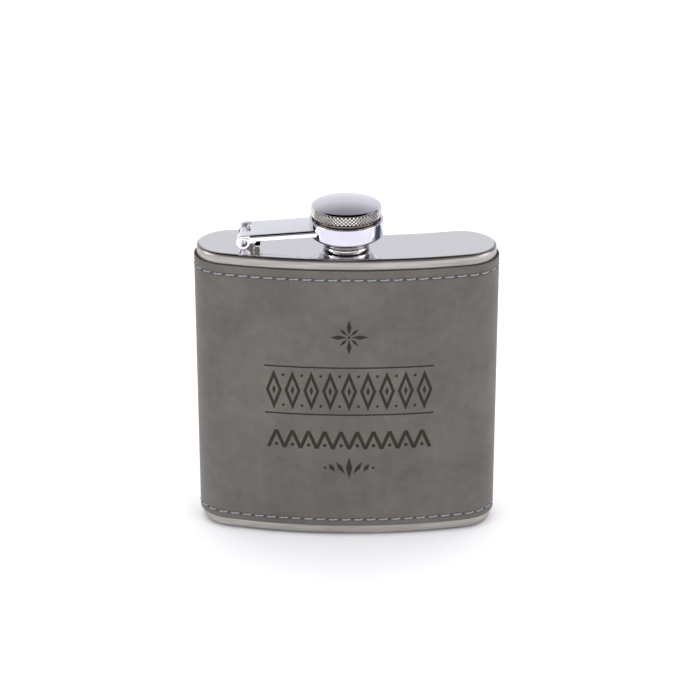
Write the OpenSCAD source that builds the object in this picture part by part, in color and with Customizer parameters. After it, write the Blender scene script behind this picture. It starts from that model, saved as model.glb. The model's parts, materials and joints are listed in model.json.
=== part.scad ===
// Kidney-shaped steel hip flask in a stitched wrap, with a captive screw cap on a hinged arm.
// Origin: on the neck's axis, on the surface that the flask stands on. Front is -Y, up is +Z.

/* [Body] */
// Width of the steel body
body_w = 93.25; // [76:0.25:114]
// Thickness of the steel body at its middle
body_t = 22.14; // [18.4:0.02:27]
// Height of the steel body, from its base to the top plate
body_h = 94.36; // [76:0.02:116]
// Radius of the bowed front face
front_r = 152.1; // [125:0.1:184]
// How much less than half the thickness the rounded sides' radius is
end_pinch = 0.07; // [0:0.01:0.6]
// Thickness of the body sheet
sheet_t = 0.6; // [0.4:0.05:0.9]
// Thickness of the top and bottom plates
plate_t = 0.8; // [0.6:0.05:1]
// Rounding of the top plate's edge
top_edge_r = 1.05; // [0.6:0.05:1.25]
// Depth of the top plate's turned-down rim
top_rim_h = 1.4; // [1.3:0.05:2]
// Rounding of the bottom plate's edge
bottom_edge_r = 1.45; // [0.8:0.05:1.7]
// Depth of the bottom plate's turned-up rim
bottom_rim_h = 1.9; // [1.8:0.05:2.6]

/* [Neck] */
// Bore of the mouth, which takes a filling spout
mouth_d = 8.6; // [7.2:0.1:10.3]
// Height of the mouth above the top plate
neck_h = 7.64; // [6.5:0.02:9.2]
// Wall of the neck between the threads
neck_wall = 0.85; // [0.7:0.05:1]
// Height of a thread ridge above its root
thread_depth = 0.45; // [0.3:0.05:0.5]
// Rise of the thread in one turn
thread_lead = 1.5; // [1.25:0.05:1.8]
// Height of the thread's start above the bead
thread_start = 1.6; // [1.2:0.05:1.8]
// Number of turns of thread
thread_turns = 2.75; // [1.5:0.25:2.75]
// How far the bead at the neck's foot stands out from the neck
bead_w = 1.15; // [0.8:0.05:1.2]
// Height of that bead
bead_h = 0.45; // [0.3:0.05:0.5]
// How far the swaged flange reaches under the top plate
swage_w = 1.2; // [0.6:0.05:1.6]
// Thickness of that flange
swage_t = 0.6; // [0.4:0.05:1]

/* [Cap] */
// Diameter over the knurled side
cap_d = 21.7; // [18:0.1:22.4]
// Height of the knurled side
cap_side_h = 3.6; // [2.8:0.05:4.4]
// Rise of the domed top above that side
cap_dome_h = 1.6; // [1:0.05:2]
// Wall of the cap's shell
cap_wall = 0.85; // [0.6:0.05:1]
// Gap between the cap's lower edge and the collar's rim
cap_gap = 0.75; // [0.4:0.05:1.2]
// How far the insert's flange is pressed up into the shell
insert_press = 0.5; // [0.3:0.05:0.8]
// Thickness of the insert's flange, which the shell is pressed over
insert_flange_t = 1.6; // [1.2:0.05:2]
// Wall of the threaded sleeve outside its threads
sleeve_wall = 0.5; // [0.4:0.05:0.7]
// Clearance between the crests of the cap's and the neck's threads, on the radius
thread_clearance = 0.35; // [0.3:0.01:0.4]
// Thickness of the sealing gasket
gasket_t = 1; // [0.6:0.05:1.2]
// Clearance of the gasket in the insert, on the radius
gasket_clearance = 0.1; // [0.05:0.05:0.2]
// Gap between the gasket and the mouth with the cap down
seal_gap = 0.05; // [0.02:0.01:0.1]
// Clearance of the sleeve above the neck's bead with the cap down
sleeve_lift = 0.1; // [0.06:0.01:0.2]
// How far the ring on the sleeve's end reaches under the collar
retainer_lip = 0.4; // [0.3:0.05:0.8]
// Height of that ring
retainer_h = 0.9; // [0.6:0.05:1]

/* [Arm] */
// How far the collar stands out past the cap
collar_overhang = 0.55; // [0.35:0.05:0.9]
// Height of the collar's rim above the top plate
collar_top_h = 9.74; // [9:0.02:10.6]
// Height of the collar's straight side
collar_side_h = 5.1; // [4.2:0.05:5.6]
// Height of the collar's sloping underside
collar_slope_h = 2.2; // [1.6:0.05:2.4]
// Width of the collar's flat underside round its hole
collar_foot_w = 1.2; // [0.9:0.05:1.8]
// Wall of the collar
collar_wall = 0.9; // [0.6:0.05:1.1]
// Clearance of the sleeve in the collar, on the radius
collar_clearance = 0.2; // [0.1:0.05:0.3]
// Distance from the neck's axis to the arm's pin
arm_reach = 31.5; // [29:0.1:34]
// Width of the arm
arm_w = 13.6; // [12.6:0.1:15]
// Thickness of the arm's sheet
arm_t = 0.75; // [0.5:0.05:0.9]
// Depth of the arm's side flanges
arm_flange_h = 1.9; // [1.5:0.05:2.2]
// Height of the arm's top above the top plate, at the collar
arm_top_h = 7.1; // [6.8:0.02:7.6]
// Diameter of the arm's rolled hinge barrels
barrel_d = 4.1; // [3.7:0.05:4.2]
// Clearance between the arm's end and the collar that it is brazed to
braze_gap = 0.02; // [0.01:0.01:0.05]

/* [Hinge] */
// Sideways offset of the hinge from the neck's axis, towards the back
hinge_offset = 1.1; // [0:0.1:1.3]
// Width of the link that joins the arm to its bracket
link_w = 6.6; // [6:0.1:7]
// Clearance at each side of the link
link_side_gap = 0.2; // [0.1:0.05:0.3]
// Diameter of the link's upper barrel
link_upper_d = 2.9; // [2.5:0.05:3.1]
// Diameter of the link's lower barrel and of the bracket's eyes
link_lower_d = 1.9; // [1.8:0.05:2.1]
// Thickness of the link's web
link_web_t = 1; // [0.8:0.05:1.2]
// Height of the arm's pin above the top plate
upper_pin_h = 3.94; // [3.8:0.02:4.1]
// Diameter of the arm's pin
upper_pin_d = 1.3; // [1.1:0.01:1.56]
// Height of the bracket's pin above the top plate
lower_pin_h = 2.84; // [2.7:0.02:2.9]
// Distance between the two pins, along the arm
pin_pitch_x = 2.9; // [2.8:0.05:3.2]
// Diameter of the bracket's pin
lower_pin_d = 1; // [0.8:0.05:1.1]
// How far each pin stands out at its ends
pin_proud = 0.15; // [0.1:0.05:0.3]
// Running clearance of the pins, on the radius
pin_clearance = 0.04; // [0.02:0.01:0.08]
// Thickness of the bracket's cheeks
cheek_t = 1; // [0.8:0.05:1.2]
// Thickness of the bracket's foot
foot_t = 0.5; // [0.4:0.05:0.6]
// How far the bracket's foot starts behind its pin
foot_back = 2.2; // [1.9:0.05:2.6]
// Length of the cheeks along the foot
strip_l = 2.1; // [1.8:0.05:2.4]
// Height of the weld tab at the end of the foot
tab_h = 1.5; // [1:0.05:1.6]
// Length of that tab
tab_l = 1.9; // [1.4:0.05:2.2]
// Width of that tab
tab_w = 9.8; // [7:0.1:10.2]

/* [Wrap] */
// Thickness of the wrap's lining
lining_t = 0.3; // [0.2:0.02:0.4]
// Thickness of the wrap's outer layer
leather_t = 0.56; // [0.4:0.02:0.8]
// How far the lining stops short of the outer layer's edges
lining_inset = 0.2; // [0:0.05:0.6]
// Steel left bare above the wrap
bare_top = 3.34; // [2:0.02:6]
// Steel left bare below the wrap
bare_bottom = 3.42; // [2:0.02:6]
// Glue line between the wrap's layers
glue_gap = 0.01; // [0.01:0.01:0.03]
// Open width of the butt seam at the back
seam_gap = 0.4; // [0.2:0.05:1]
// Distance from the wrap's upper edge to its stitches
top_stitch_inset = 3; // [2:0.1:4]
// Distance from the wrap's lower edge to its stitches
bottom_stitch_inset = 2.25; // [1.6:0.05:4]
// Distance from the rear seam to the stitches beside it
seam_stitch_inset = 2.4; // [1.6:0.1:4]
// Distance from one stitch to the next
stitch_pitch = 4; // [3:0.1:5]
// Length of one stitch
stitch_l = 3; // [2.2:0.1:3.6]
// Diameter of the thread
thread_d = 0.5; // [0.3:0.05:0.6]
// Depth of the groove that the stitches lie in
stitch_groove = 0.25; // [0.1:0.05:0.3]
// Clearance between a stitch and its groove
stitch_clearance = 0.03; // [0.01:0.01:0.05]

/* [Hidden] */
$fn = 96;

// A small overlap that makes a cut or a union clean
bite = 0.5;
// How much thicker than the body's sheet the top plate's rim is; the base's rim is twice that
rim_step = 0.5;
// Gap between two pieces of the body that are welded together
weld_gap = 0.01;

steel = [0.74, 0.73, 0.71];
bright_steel = [0.84, 0.84, 0.86];
chrome = [0.9, 0.9, 0.93];
brass = [0.72, 0.6, 0.35];
rubber = [0.16, 0.16, 0.17];
cloth = [0.2, 0.19, 0.18];
leather = [0.43, 0.42, 0.4];
thread = [0.6, 0.64, 0.68];

// The body's outline: a bowed front, a hollow back and two round ends, all tangent to each other
end_r = body_t / 2 - end_pinch;
end_x = body_w / 2 - end_r;
front_y = front_r - body_t / 2;
end_y = front_y - sqrt((front_r - end_r) ^ 2 - end_x ^ 2);
back_drop = end_y - body_t / 2;
back_r = (end_x ^ 2 + back_drop ^ 2 - end_r ^ 2) / (2 * (back_drop + end_r));
back_y = body_t / 2 + back_r;
front_angle = atan2(end_x, front_y - end_y);
back_angle = atan2(end_x, back_y - end_y);
end_turn = 180 + back_angle - front_angle;

// Heights
plate_top = body_h;
plate_under = body_h - plate_t;
shell_top = body_h - top_rim_h;
shell_bottom = bottom_rim_h;
mouth_z = plate_top + neck_h;
collar_top = plate_top + collar_top_h;
collar_side_z = collar_top - collar_side_h;
collar_foot_z = collar_side_z - collar_slope_h;
cap_under = collar_top + cap_gap;
cap_side_top = cap_under + cap_side_h;
cap_top = cap_side_top + cap_dome_h;
gasket_z = mouth_z + seal_gap;
insert_ceiling = gasket_z + gasket_t + seal_gap;
sleeve_bottom = plate_top + bead_h + sleeve_lift;
thread_z = plate_top + bead_h + thread_start;
wrap_top = body_h - bare_top;
wrap_bottom = bare_bottom;

// Radii
neck_root_r = mouth_d / 2 + neck_wall;
neck_crest_r = neck_root_r + thread_depth;
cap_crest_r = neck_crest_r + thread_clearance;
cap_root_r = cap_crest_r + thread_depth;
sleeve_r = cap_root_r + sleeve_wall;
collar_hole_r = sleeve_r + collar_clearance;
retainer_r = collar_hole_r + retainer_lip;
collar_r = cap_d / 2 + collar_overhang;
collar_foot_r = collar_hole_r + collar_foot_w;
bead_r = neck_root_r + bead_w;
// Clearance of the neck's spigot in the plate, and the step that seats the neck on the plate
spigot_clearance = 0.02;
neck_step = 0.15;
neck_hole_r = neck_root_r - neck_step;
swage_r = neck_hole_r + swage_w;
// Clearance of a pressed fit, on the radius
press_clearance = 0.02;
cap_inner_r = cap_d / 2 - cap_wall;
dome_r = ((cap_d / 2) ^ 2 + cap_dome_h ^ 2) / (2 * cap_dome_h);

// The hinge's two pins
upper_pin_x = -arm_reach;
upper_pin_z = plate_top + upper_pin_h;
lower_pin_x = upper_pin_x + pin_pitch_x;
lower_pin_z = plate_top + lower_pin_h;
notch_w = link_w + 2 * link_side_gap;
foot_x = lower_pin_x - foot_back;
tab_x = foot_x + strip_l + 0.3;

// The arm's top runs from the hinge barrels up to the collar
arm_slope = atan2(arm_top_h - upper_pin_h - barrel_d / 2, arm_reach - collar_r);

// The wrap's layers, as distances out from the steel
lining_in = glue_gap;
lining_out = lining_in + lining_t;
leather_in = lining_out + glue_gap;
leather_out = leather_in + leather_t;
stitch_out = leather_out - stitch_groove + thread_d / 2 + stitch_clearance;
top_stitch_z = wrap_top - top_stitch_inset;
bottom_stitch_z = wrap_bottom + bottom_stitch_inset;

// Point on a circle, with the angle measured from straight ahead (-Y) towards +X
function on_arc(centre, r, a) = centre + r * [sin(a), -cos(a)];

// Points round the outline, moved out by grow; step sets their spacing
function outline(grow, step = 2.5) =
    let(
        n_front = ceil(2 * front_angle * PI / 180 * front_r / step),
        n_back = ceil(2 * back_angle * PI / 180 * back_r / step),
        n_end = 24
    )
    concat(
        [for (i = [0:n_front - 1])
            on_arc([0, front_y], front_r + grow, front_angle * (2 * i / n_front - 1))],
        [for (i = [0:n_end - 1])
            on_arc([end_x, end_y], end_r + grow, front_angle + end_turn * i / n_end)],
        [for (i = [0:n_back - 1])
            on_arc([0, back_y], back_r - grow, back_angle * (1 - 2 * i / n_back))],
        [for (i = [0:n_end - 1])
            on_arc([-end_x, end_y], end_r + grow, 180 - back_angle + end_turn * i / n_end)]
    );

// The outline as a flat shape
module kidney(grow = 0) {
    polygon(outline(grow));
}

// A wall that follows the outline between two distances out from the steel's face
module kidney_wall(inner, outer, z0, z1) {
    translate([0, 0, z0])
        linear_extrude(z1 - z0)
            difference() {
                kidney(outer);
                kidney(inner);
            }
}

// A solid skinned through outlines; each layer is [distance out, height]
module kidney_loft(layers) {
    n = len(outline(0));
    top = (len(layers) - 1) * n;
    polyhedron(
        points = [for (l = layers) for (p = outline(l[0])) [p[0], p[1], l[1]]],
        faces = concat(
            [[for (i = [0:n - 1]) i]],
            [for (k = [0:len(layers) - 2]) for (i = [0:n - 1]) let(j = (i + 1) % n)
                [k * n + i, (k + 1) * n + i, (k + 1) * n + j, k * n + j]],
            [[for (i = [n - 1:-1:0]) top + i]]
        )
    );
}

// A thread's ridge, as one swept band whose ends run out into the root
module thread_ridge(root_r, crest_r, z0) {
    // Sections in a turn, how deep the ridge is rooted, and half its width at its foot and its land
    steps = 20;
    n = round(thread_turns * steps);
    sunk = root_r + sign(root_r - crest_r) * 0.12;
    foot = 0.42;
    land = 0.12;
    function crest(i) = let(run = steps / 3, k = min(1, i / run, (n - i) / run))
        root_r + (crest_r - root_r) * max(k, 0.12);
    section = [for (i = [0:n])
        let(a = 360 * i / steps, z = z0 + thread_lead * i / steps, c = crest(i))
        for (q = [[sunk, -foot], [c, -land], [c, land], [sunk, foot]])
            [q[0] * cos(a), q[0] * sin(a), z + q[1]]];
    sides = [for (i = [0:n - 1]) for (k = [0:3]) let(j = (k + 1) % 4)
        [4 * i + k, 4 * i + j, 4 * i + 4 + j, 4 * i + 4 + k]];
    ends = [[3, 2, 1, 0], [4 * n, 4 * n + 1, 4 * n + 2, 4 * n + 3]];
    outward = concat(sides, ends);
    polyhedron(
        points = section,
        faces = crest_r > root_r ? outward : [for (f = outward) [for (k = [len(f) - 1:-1:0]) f[k]]],
        convexity = 8
    );
}

// A rod across the hinge, from y0 to y1
module cross_rod(x, z, d, y0, y1) {
    translate([x, y1, z]) rotate([90, 0, 0]) cylinder(d = d, h = y1 - y0);
}

// A flat shape drawn in X and Z, made solid from y0 to y1
module cross_plate(y0, y1) {
    translate([0, y1, 0]) rotate([90, 0, 0]) linear_extrude(y1 - y0) children();
}

// Half of the body's wall: the front is below the line through the round ends, the back above it
module half_shell(front) {
    far = body_w;
    y0 = front ? end_y - weld_gap / 2 - far : end_y + weld_gap / 2;
    intersection() {
        kidney_wall(-sheet_t, 0, shell_bottom + weld_gap, shell_top - weld_gap);
        translate([-far, y0, 0]) cube([2 * far, far, body_h]);
    }
}

module front_shell() {
    color(steel) half_shell(true);
}

module back_shell() {
    color(steel) half_shell(false);
}

// The rounding's layers go from the edge's flat side to the plate's face
function edge_layers(r, z_face, up) = [for (a = [0:18:90])
    [-r * (1 - cos(a)), z_face + (up ? -1 : 1) * r * (1 - sin(a))]];

module top_plate() {
    color(bright_steel)
        difference() {
            kidney_loft(concat([[0, shell_top]], edge_layers(top_edge_r, plate_top, true)));
            translate([0, 0, shell_top - bite])
                linear_extrude(plate_under - shell_top + bite) kidney(-sheet_t - rim_step);
            translate([0, 0, plate_under - bite])
                cylinder(r = neck_hole_r, h = plate_t + 2 * bite);
        }
}

module bottom_plate() {
    layers = edge_layers(bottom_edge_r, 0, false);
    color(steel)
        difference() {
            kidney_loft(concat(
                [for (i = [len(layers) - 1:-1:0]) layers[i]],
                [[0, shell_bottom]]
            ));
            translate([0, 0, plate_t])
                linear_extrude(shell_bottom) kidney(-sheet_t - 2 * rim_step);
        }
}

module neck() {
    color(bright_steel) {
        difference() {
            union() {
                translate([0, 0, plate_under - swage_t - weld_gap])
                    cylinder(r = neck_hole_r - spigot_clearance, h = mouth_z - plate_under);
                translate([0, 0, plate_under - swage_t - weld_gap])
                    cylinder(r = swage_r, h = swage_t);
                translate([0, 0, plate_top + weld_gap]) cylinder(r = bead_r, h = bead_h - weld_gap);
                translate([0, 0, plate_top + weld_gap])
                    cylinder(r = neck_root_r, h = neck_h - weld_gap);
            }
            translate([0, 0, plate_under - swage_t - 1])
                cylinder(d = mouth_d, h = neck_h + plate_t + swage_t + 2);
        }
        thread_ridge(neck_root_r, neck_crest_r, thread_z);
    }
}

// One cheek of the bracket: a strip that leans towards the neck and ends in an eye
module cheek_outline() {
    difference() {
        union() {
            polygon([
                [foot_x, plate_top + weld_gap], [foot_x + strip_l, plate_top + weld_gap],
                [lower_pin_x + link_lower_d / 2, lower_pin_z - 0.4],
                [lower_pin_x + link_lower_d / 2 - 0.05, lower_pin_z],
                [lower_pin_x - link_lower_d / 2 + 0.05, lower_pin_z + 0.1],
                [foot_x, plate_top + foot_t]
            ]);
            translate([lower_pin_x, lower_pin_z]) circle(d = link_lower_d);
        }
        translate([lower_pin_x, lower_pin_z]) circle(d = lower_pin_d + 2 * pin_clearance);
    }
}

module hinge_bracket() {
    y0 = hinge_offset - link_w / 2;
    y1 = hinge_offset + link_w / 2;
    color(chrome) {
        cross_plate(y0, y0 + cheek_t) cheek_outline();
        cross_plate(y1 - cheek_t, y1) cheek_outline();
        translate([foot_x, y0, plate_top + weld_gap])
            cube([tab_x + tab_l - foot_x, link_w, foot_t - weld_gap]);
        translate([tab_x, hinge_offset - tab_w / 2, plate_top + weld_gap])
            cube([tab_l, tab_w, foot_t - weld_gap]);
        for (y = [hinge_offset - tab_w / 2, hinge_offset + tab_w / 2 - cheek_t])
            translate([tab_x, y, plate_top + weld_gap]) cube([tab_l, cheek_t, tab_h - weld_gap]);
    }
}

module lower_hinge_pin() {
    color(chrome)
        cross_rod(lower_pin_x, lower_pin_z, lower_pin_d,
            hinge_offset - link_w / 2 - pin_proud, hinge_offset + link_w / 2 + pin_proud);
}

module hinge_link() {
    y0 = hinge_offset - link_w / 2;
    y1 = hinge_offset + link_w / 2;
    inner_y0 = y0 + cheek_t + link_side_gap;
    inner_y1 = y1 - cheek_t - link_side_gap;
    pitch = norm([pin_pitch_x, upper_pin_h - lower_pin_h]);
    lean = atan2(upper_pin_h - lower_pin_h, pin_pitch_x);
    color(chrome)
        difference() {
            union() {
                cross_rod(upper_pin_x, upper_pin_z, link_upper_d, y0, y1);
                cross_rod(lower_pin_x, lower_pin_z, link_lower_d, inner_y0, inner_y1);
                cross_plate(inner_y0, inner_y1)
                    translate([lower_pin_x, lower_pin_z]) rotate(180 - lean)
                        translate([0, -link_web_t / 2]) square([pitch, link_web_t]);
            }
            cross_rod(upper_pin_x, upper_pin_z, upper_pin_d + 2 * pin_clearance, y0 - 1, y1 + 1);
            cross_rod(lower_pin_x, lower_pin_z, lower_pin_d + 2 * pin_clearance, y0 - 1, y1 + 1);
        }
}

module upper_hinge_pin() {
    color(chrome)
        cross_rod(upper_pin_x, upper_pin_z, upper_pin_d,
            -arm_w / 2 - pin_proud, arm_w / 2 + pin_proud);
}

// The arm seen from the front, from its barrels to the neck's axis; depth is measured down from its top
module arm_outline(depth) {
    translate([upper_pin_x, upper_pin_z]) rotate(arm_slope)
        translate([0, barrel_d / 2 - depth]) square([arm_reach, depth]);
}

module arm_strap() {
    notch_y0 = hinge_offset - notch_w / 2;
    notch_y1 = hinge_offset + notch_w / 2;
    color(chrome)
        difference() {
            union() {
                cross_plate(-arm_w / 2, arm_w / 2) arm_outline(arm_t);
                cross_plate(-arm_w / 2, -arm_w / 2 + arm_t) arm_outline(arm_flange_h);
                cross_plate(arm_w / 2 - arm_t, arm_w / 2) arm_outline(arm_flange_h);
                cross_rod(upper_pin_x, upper_pin_z, barrel_d, -arm_w / 2, notch_y0);
                cross_rod(upper_pin_x, upper_pin_z, barrel_d, notch_y1, arm_w / 2);
            }
            cross_rod(upper_pin_x, upper_pin_z, upper_pin_d + 2 * pin_clearance,
                -arm_w, arm_w);
            translate([upper_pin_x - barrel_d, notch_y0, plate_top])
                cube([barrel_d * 1.5, notch_w, 2 * barrel_d]);
            translate([0, 0, plate_top])
                cylinder(r = collar_r + braze_gap, h = collar_top_h + 2);
        }
}

module arm_collar() {
    r = collar_r;
    foot_r = collar_foot_r;
    color(chrome)
        rotate_extrude()
            polygon([
                [collar_hole_r, collar_foot_z], [foot_r, collar_foot_z],
                [r, collar_side_z], [r, collar_top - 0.2], [r - 0.2, collar_top],
                [r - collar_wall + 0.1, collar_top], [r - collar_wall, collar_top - 0.1],
                [r - collar_wall, collar_side_z + 0.4],
                [foot_r - 0.3, collar_foot_z + collar_wall], [collar_hole_r, collar_foot_z + collar_wall]
            ]);
}

module cap_shell() {
    color(chrome)
        difference() {
            intersection() {
                translate([0, 0, cap_under]) cylinder(d = cap_d, h = cap_side_h + cap_dome_h);
                translate([0, 0, cap_top - dome_r]) sphere(r = dome_r);
            }
            intersection() {
                translate([0, 0, cap_under - 1]) cylinder(r = cap_inner_r, h = cap_side_h + 3);
                translate([0, 0, cap_top - dome_r]) sphere(r = dome_r - cap_wall);
            }
        }
}

module cap_thread_insert() {
    flange_top = cap_under + insert_press;
    flange_bottom = flange_top - insert_flange_t;
    color(brass) {
        difference() {
            union() {
                translate([0, 0, flange_bottom])
                    cylinder(r = cap_inner_r - press_clearance, h = insert_flange_t);
                translate([0, 0, sleeve_bottom])
                    cylinder(r = sleeve_r, h = flange_top - sleeve_bottom);
            }
            translate([0, 0, sleeve_bottom - 1])
                cylinder(r = cap_root_r, h = insert_ceiling - sleeve_bottom + 1);
        }
        thread_ridge(cap_root_r, cap_crest_r, thread_z);
    }
}

module cap_gasket() {
    color(rubber)
        translate([0, 0, gasket_z]) cylinder(r = cap_root_r - gasket_clearance, h = gasket_t);
}

module cap_retaining_ring() {
    color(chrome)
        translate([0, 0, sleeve_bottom])
            difference() {
                cylinder(r = retainer_r, h = retainer_h);
                translate([0, 0, -1])
                    cylinder(r = sleeve_r + press_clearance, h = retainer_h + 2);
            }
}

// Everything of the wrap that lies beside the open seam at the back
module cut_at_seam() {
    difference() {
        children();
        translate([-seam_gap / 2, 0, 0]) cube([seam_gap, body_t, body_h]);
    }
}

module wrap_lining() {
    color(cloth)
        cut_at_seam() kidney_wall(lining_in, lining_out, wrap_bottom + lining_inset, wrap_top - lining_inset);
}

// Depth of the point on the hollow back that lies x to one side and grow out from the steel
function back_at(x, grow) = back_y - sqrt((back_r - grow) ^ 2 - x ^ 2);

// One height of the wrap's outer layer; beside_seam adds the grooves of the rear stitches
module wrap_course(outer, z0, z1, beside_seam = false) {
    w = thread_d + 2 * stitch_clearance;
    translate([0, 0, z0])
        linear_extrude(z1 - z0)
            difference() {
                kidney(outer);
                kidney(leather_in);
                translate([-seam_gap / 2, 0]) square([seam_gap, body_t]);
                if (beside_seam)
                    for (side = [-1, 1])
                        translate([
                            side * seam_stitch_inset - w / 2,
                            back_at(seam_stitch_inset, leather_out - stitch_groove)
                        ])
                            square([w, body_t / 4]);
            }
}

module leather_wrap() {
    half_groove = thread_d / 2 + stitch_clearance;
    grooved_out = leather_out - stitch_groove;
    color(leather) {
        wrap_course(leather_out, wrap_bottom, bottom_stitch_z - half_groove);
        wrap_course(grooved_out, bottom_stitch_z - half_groove, bottom_stitch_z + half_groove);
        wrap_course(leather_out, bottom_stitch_z + half_groove, top_stitch_z - half_groove, true);
        wrap_course(grooved_out, top_stitch_z - half_groove, top_stitch_z + half_groove);
        wrap_course(leather_out, top_stitch_z + half_groove, wrap_top);
    }
}

// Stitches along one arc of the outline, each a short rod that lies on the wrap
module arc_stitches(centre, r, a0, a1, z) {
    count = floor(abs(a1 - a0) * PI / 180 * abs(r) / stitch_pitch);
    for (i = [0:count - 1]) {
        a = a0 + (a1 - a0) * (i + 0.5) / count;
        p = on_arc(centre, r, a);
        translate([p[0], p[1], z]) rotate([0, 0, a]) rotate([0, 90, 0])
            cylinder(d = thread_d, h = stitch_l, center = true, $fn = 24);
    }
}

// A row right round the wrap, from one side of the rear seam to the other
module row_of_stitches(z) {
    seam_angle = seam_stitch_inset / back_r * 180 / PI;
    arc_stitches([0, front_y], front_r + stitch_out, -front_angle, front_angle, z);
    for (side = [0, 1]) mirror([side, 0, 0]) {
        arc_stitches([end_x, end_y], end_r + stitch_out, front_angle, front_angle + end_turn, z);
        arc_stitches([0, back_y], back_r - stitch_out, back_angle, seam_angle, z);
    }
}

module top_edge_stitching() {
    color(thread) row_of_stitches(top_stitch_z);
}

module bottom_edge_stitching() {
    color(thread) row_of_stitches(bottom_stitch_z);
}

module rear_seam_stitching() {
    z0 = bottom_stitch_z + stitch_pitch / 2;
    z1 = top_stitch_z - stitch_pitch / 2;
    count = floor((z1 - z0) / stitch_pitch);
    y = back_at(seam_stitch_inset, stitch_out);
    color(thread)
        for (side = [-1, 1]) for (i = [0:count - 1])
            translate([side * seam_stitch_inset, y, z0 + (z1 - z0) * (i + 0.5) / count])
                cylinder(d = thread_d, h = stitch_l, center = true, $fn = 24);
}

front_shell();
back_shell();
top_plate();
bottom_plate();
neck();
hinge_bracket();
lower_hinge_pin();
hinge_link();
upper_hinge_pin();
arm_strap();
arm_collar();
cap_shell();
cap_thread_insert();
cap_gasket();
cap_retaining_ring();
wrap_lining();
leather_wrap();
top_edge_stitching();
bottom_edge_stitching();
rear_seam_stitching();
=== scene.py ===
# %% [markdown]
# # A hip flask in a stitched leather wrap
# The steel body is a kidney-shaped can, made to sit against a hip. A wrap of leather goes round it,
# and a screw cap hangs on a hinged arm so that it can't be lost. This script dresses the working
# model of that flask: it loads the fixed frame, measures it, and models each piece over its node.

# %% Load the frame
import json
import math

import bmesh
import bpy
from mathutils import Matrix, Vector


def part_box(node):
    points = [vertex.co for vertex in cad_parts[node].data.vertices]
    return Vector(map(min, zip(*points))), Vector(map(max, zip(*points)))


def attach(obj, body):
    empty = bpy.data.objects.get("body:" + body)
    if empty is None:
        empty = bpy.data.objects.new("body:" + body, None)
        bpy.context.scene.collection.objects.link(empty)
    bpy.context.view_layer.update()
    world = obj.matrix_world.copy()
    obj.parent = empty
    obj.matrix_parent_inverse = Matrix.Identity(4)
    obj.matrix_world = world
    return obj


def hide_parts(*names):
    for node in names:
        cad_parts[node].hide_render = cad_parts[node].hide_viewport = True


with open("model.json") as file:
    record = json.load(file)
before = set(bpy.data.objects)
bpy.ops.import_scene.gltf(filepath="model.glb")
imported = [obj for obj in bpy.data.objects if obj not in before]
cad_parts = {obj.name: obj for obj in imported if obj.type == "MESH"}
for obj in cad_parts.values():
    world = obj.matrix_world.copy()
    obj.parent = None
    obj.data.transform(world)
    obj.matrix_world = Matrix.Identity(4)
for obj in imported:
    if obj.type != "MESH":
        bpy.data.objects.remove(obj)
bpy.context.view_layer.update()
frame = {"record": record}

MM = 0.001
TURN = 2 * math.pi
ORIGIN = (0, 0, 0)
UP = (0, 0, 1)
NOTHING = 1e-6

# %% [markdown]
# ## Camera
# A product picture is taken from far off with a long lens, so that upright lines stay nearly
# parallel. The camera stands a little above the cap and looks down by about 24 degrees.

# %% Camera
camera_data = bpy.data.cameras.new("camera")
camera_data.lens = 123.25
camera_data.clip_start = 0.05
camera = bpy.data.objects.new("camera", camera_data)
camera.location = (10.03 * MM, -689.5 * MM, 364.65 * MM)
camera.rotation_euler = (math.radians(90 - 23.86), 0, math.radians(0.74))
bpy.context.scene.collection.objects.link(camera)
bpy.context.scene.camera = camera
bpy.context.scene.view_settings.view_transform = "Standard"
print("camera distance:", round(camera.location.length, 3), "m")

# %% [markdown]
# ## Shader maths as Python
# A finish is a small graph of nodes. Wrapping a node's output in a class that overloads + and *
# lets a line such as `0.3 + 0.1 * grain` add its Math nodes by itself, which reads better than a
# page of links. Colours are mixed by their own node, because a Math node would turn them grey.

# %% The wire between two nodes
class Wire:
    """A node's output; arithmetic on it adds Math nodes to its finish."""

    def __init__(self, finish, socket):
        self.finish, self.socket = finish, socket

    def maths(self, operation, first, second, clamp=False):
        settings = {"operation": operation, "use_clamp": clamp}
        return self.finish.node("ShaderNodeMath", settings, {0: first, 1: second})

    def __add__(self, other):
        return self.maths("ADD", self, other)

    def __mul__(self, other):
        return self.maths("MULTIPLY", self, other)

    __radd__ = __add__
    __rmul__ = __mul__

    def clamped(self):
        return self.maths("ADD", self, 0.0, clamp=True)


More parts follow.
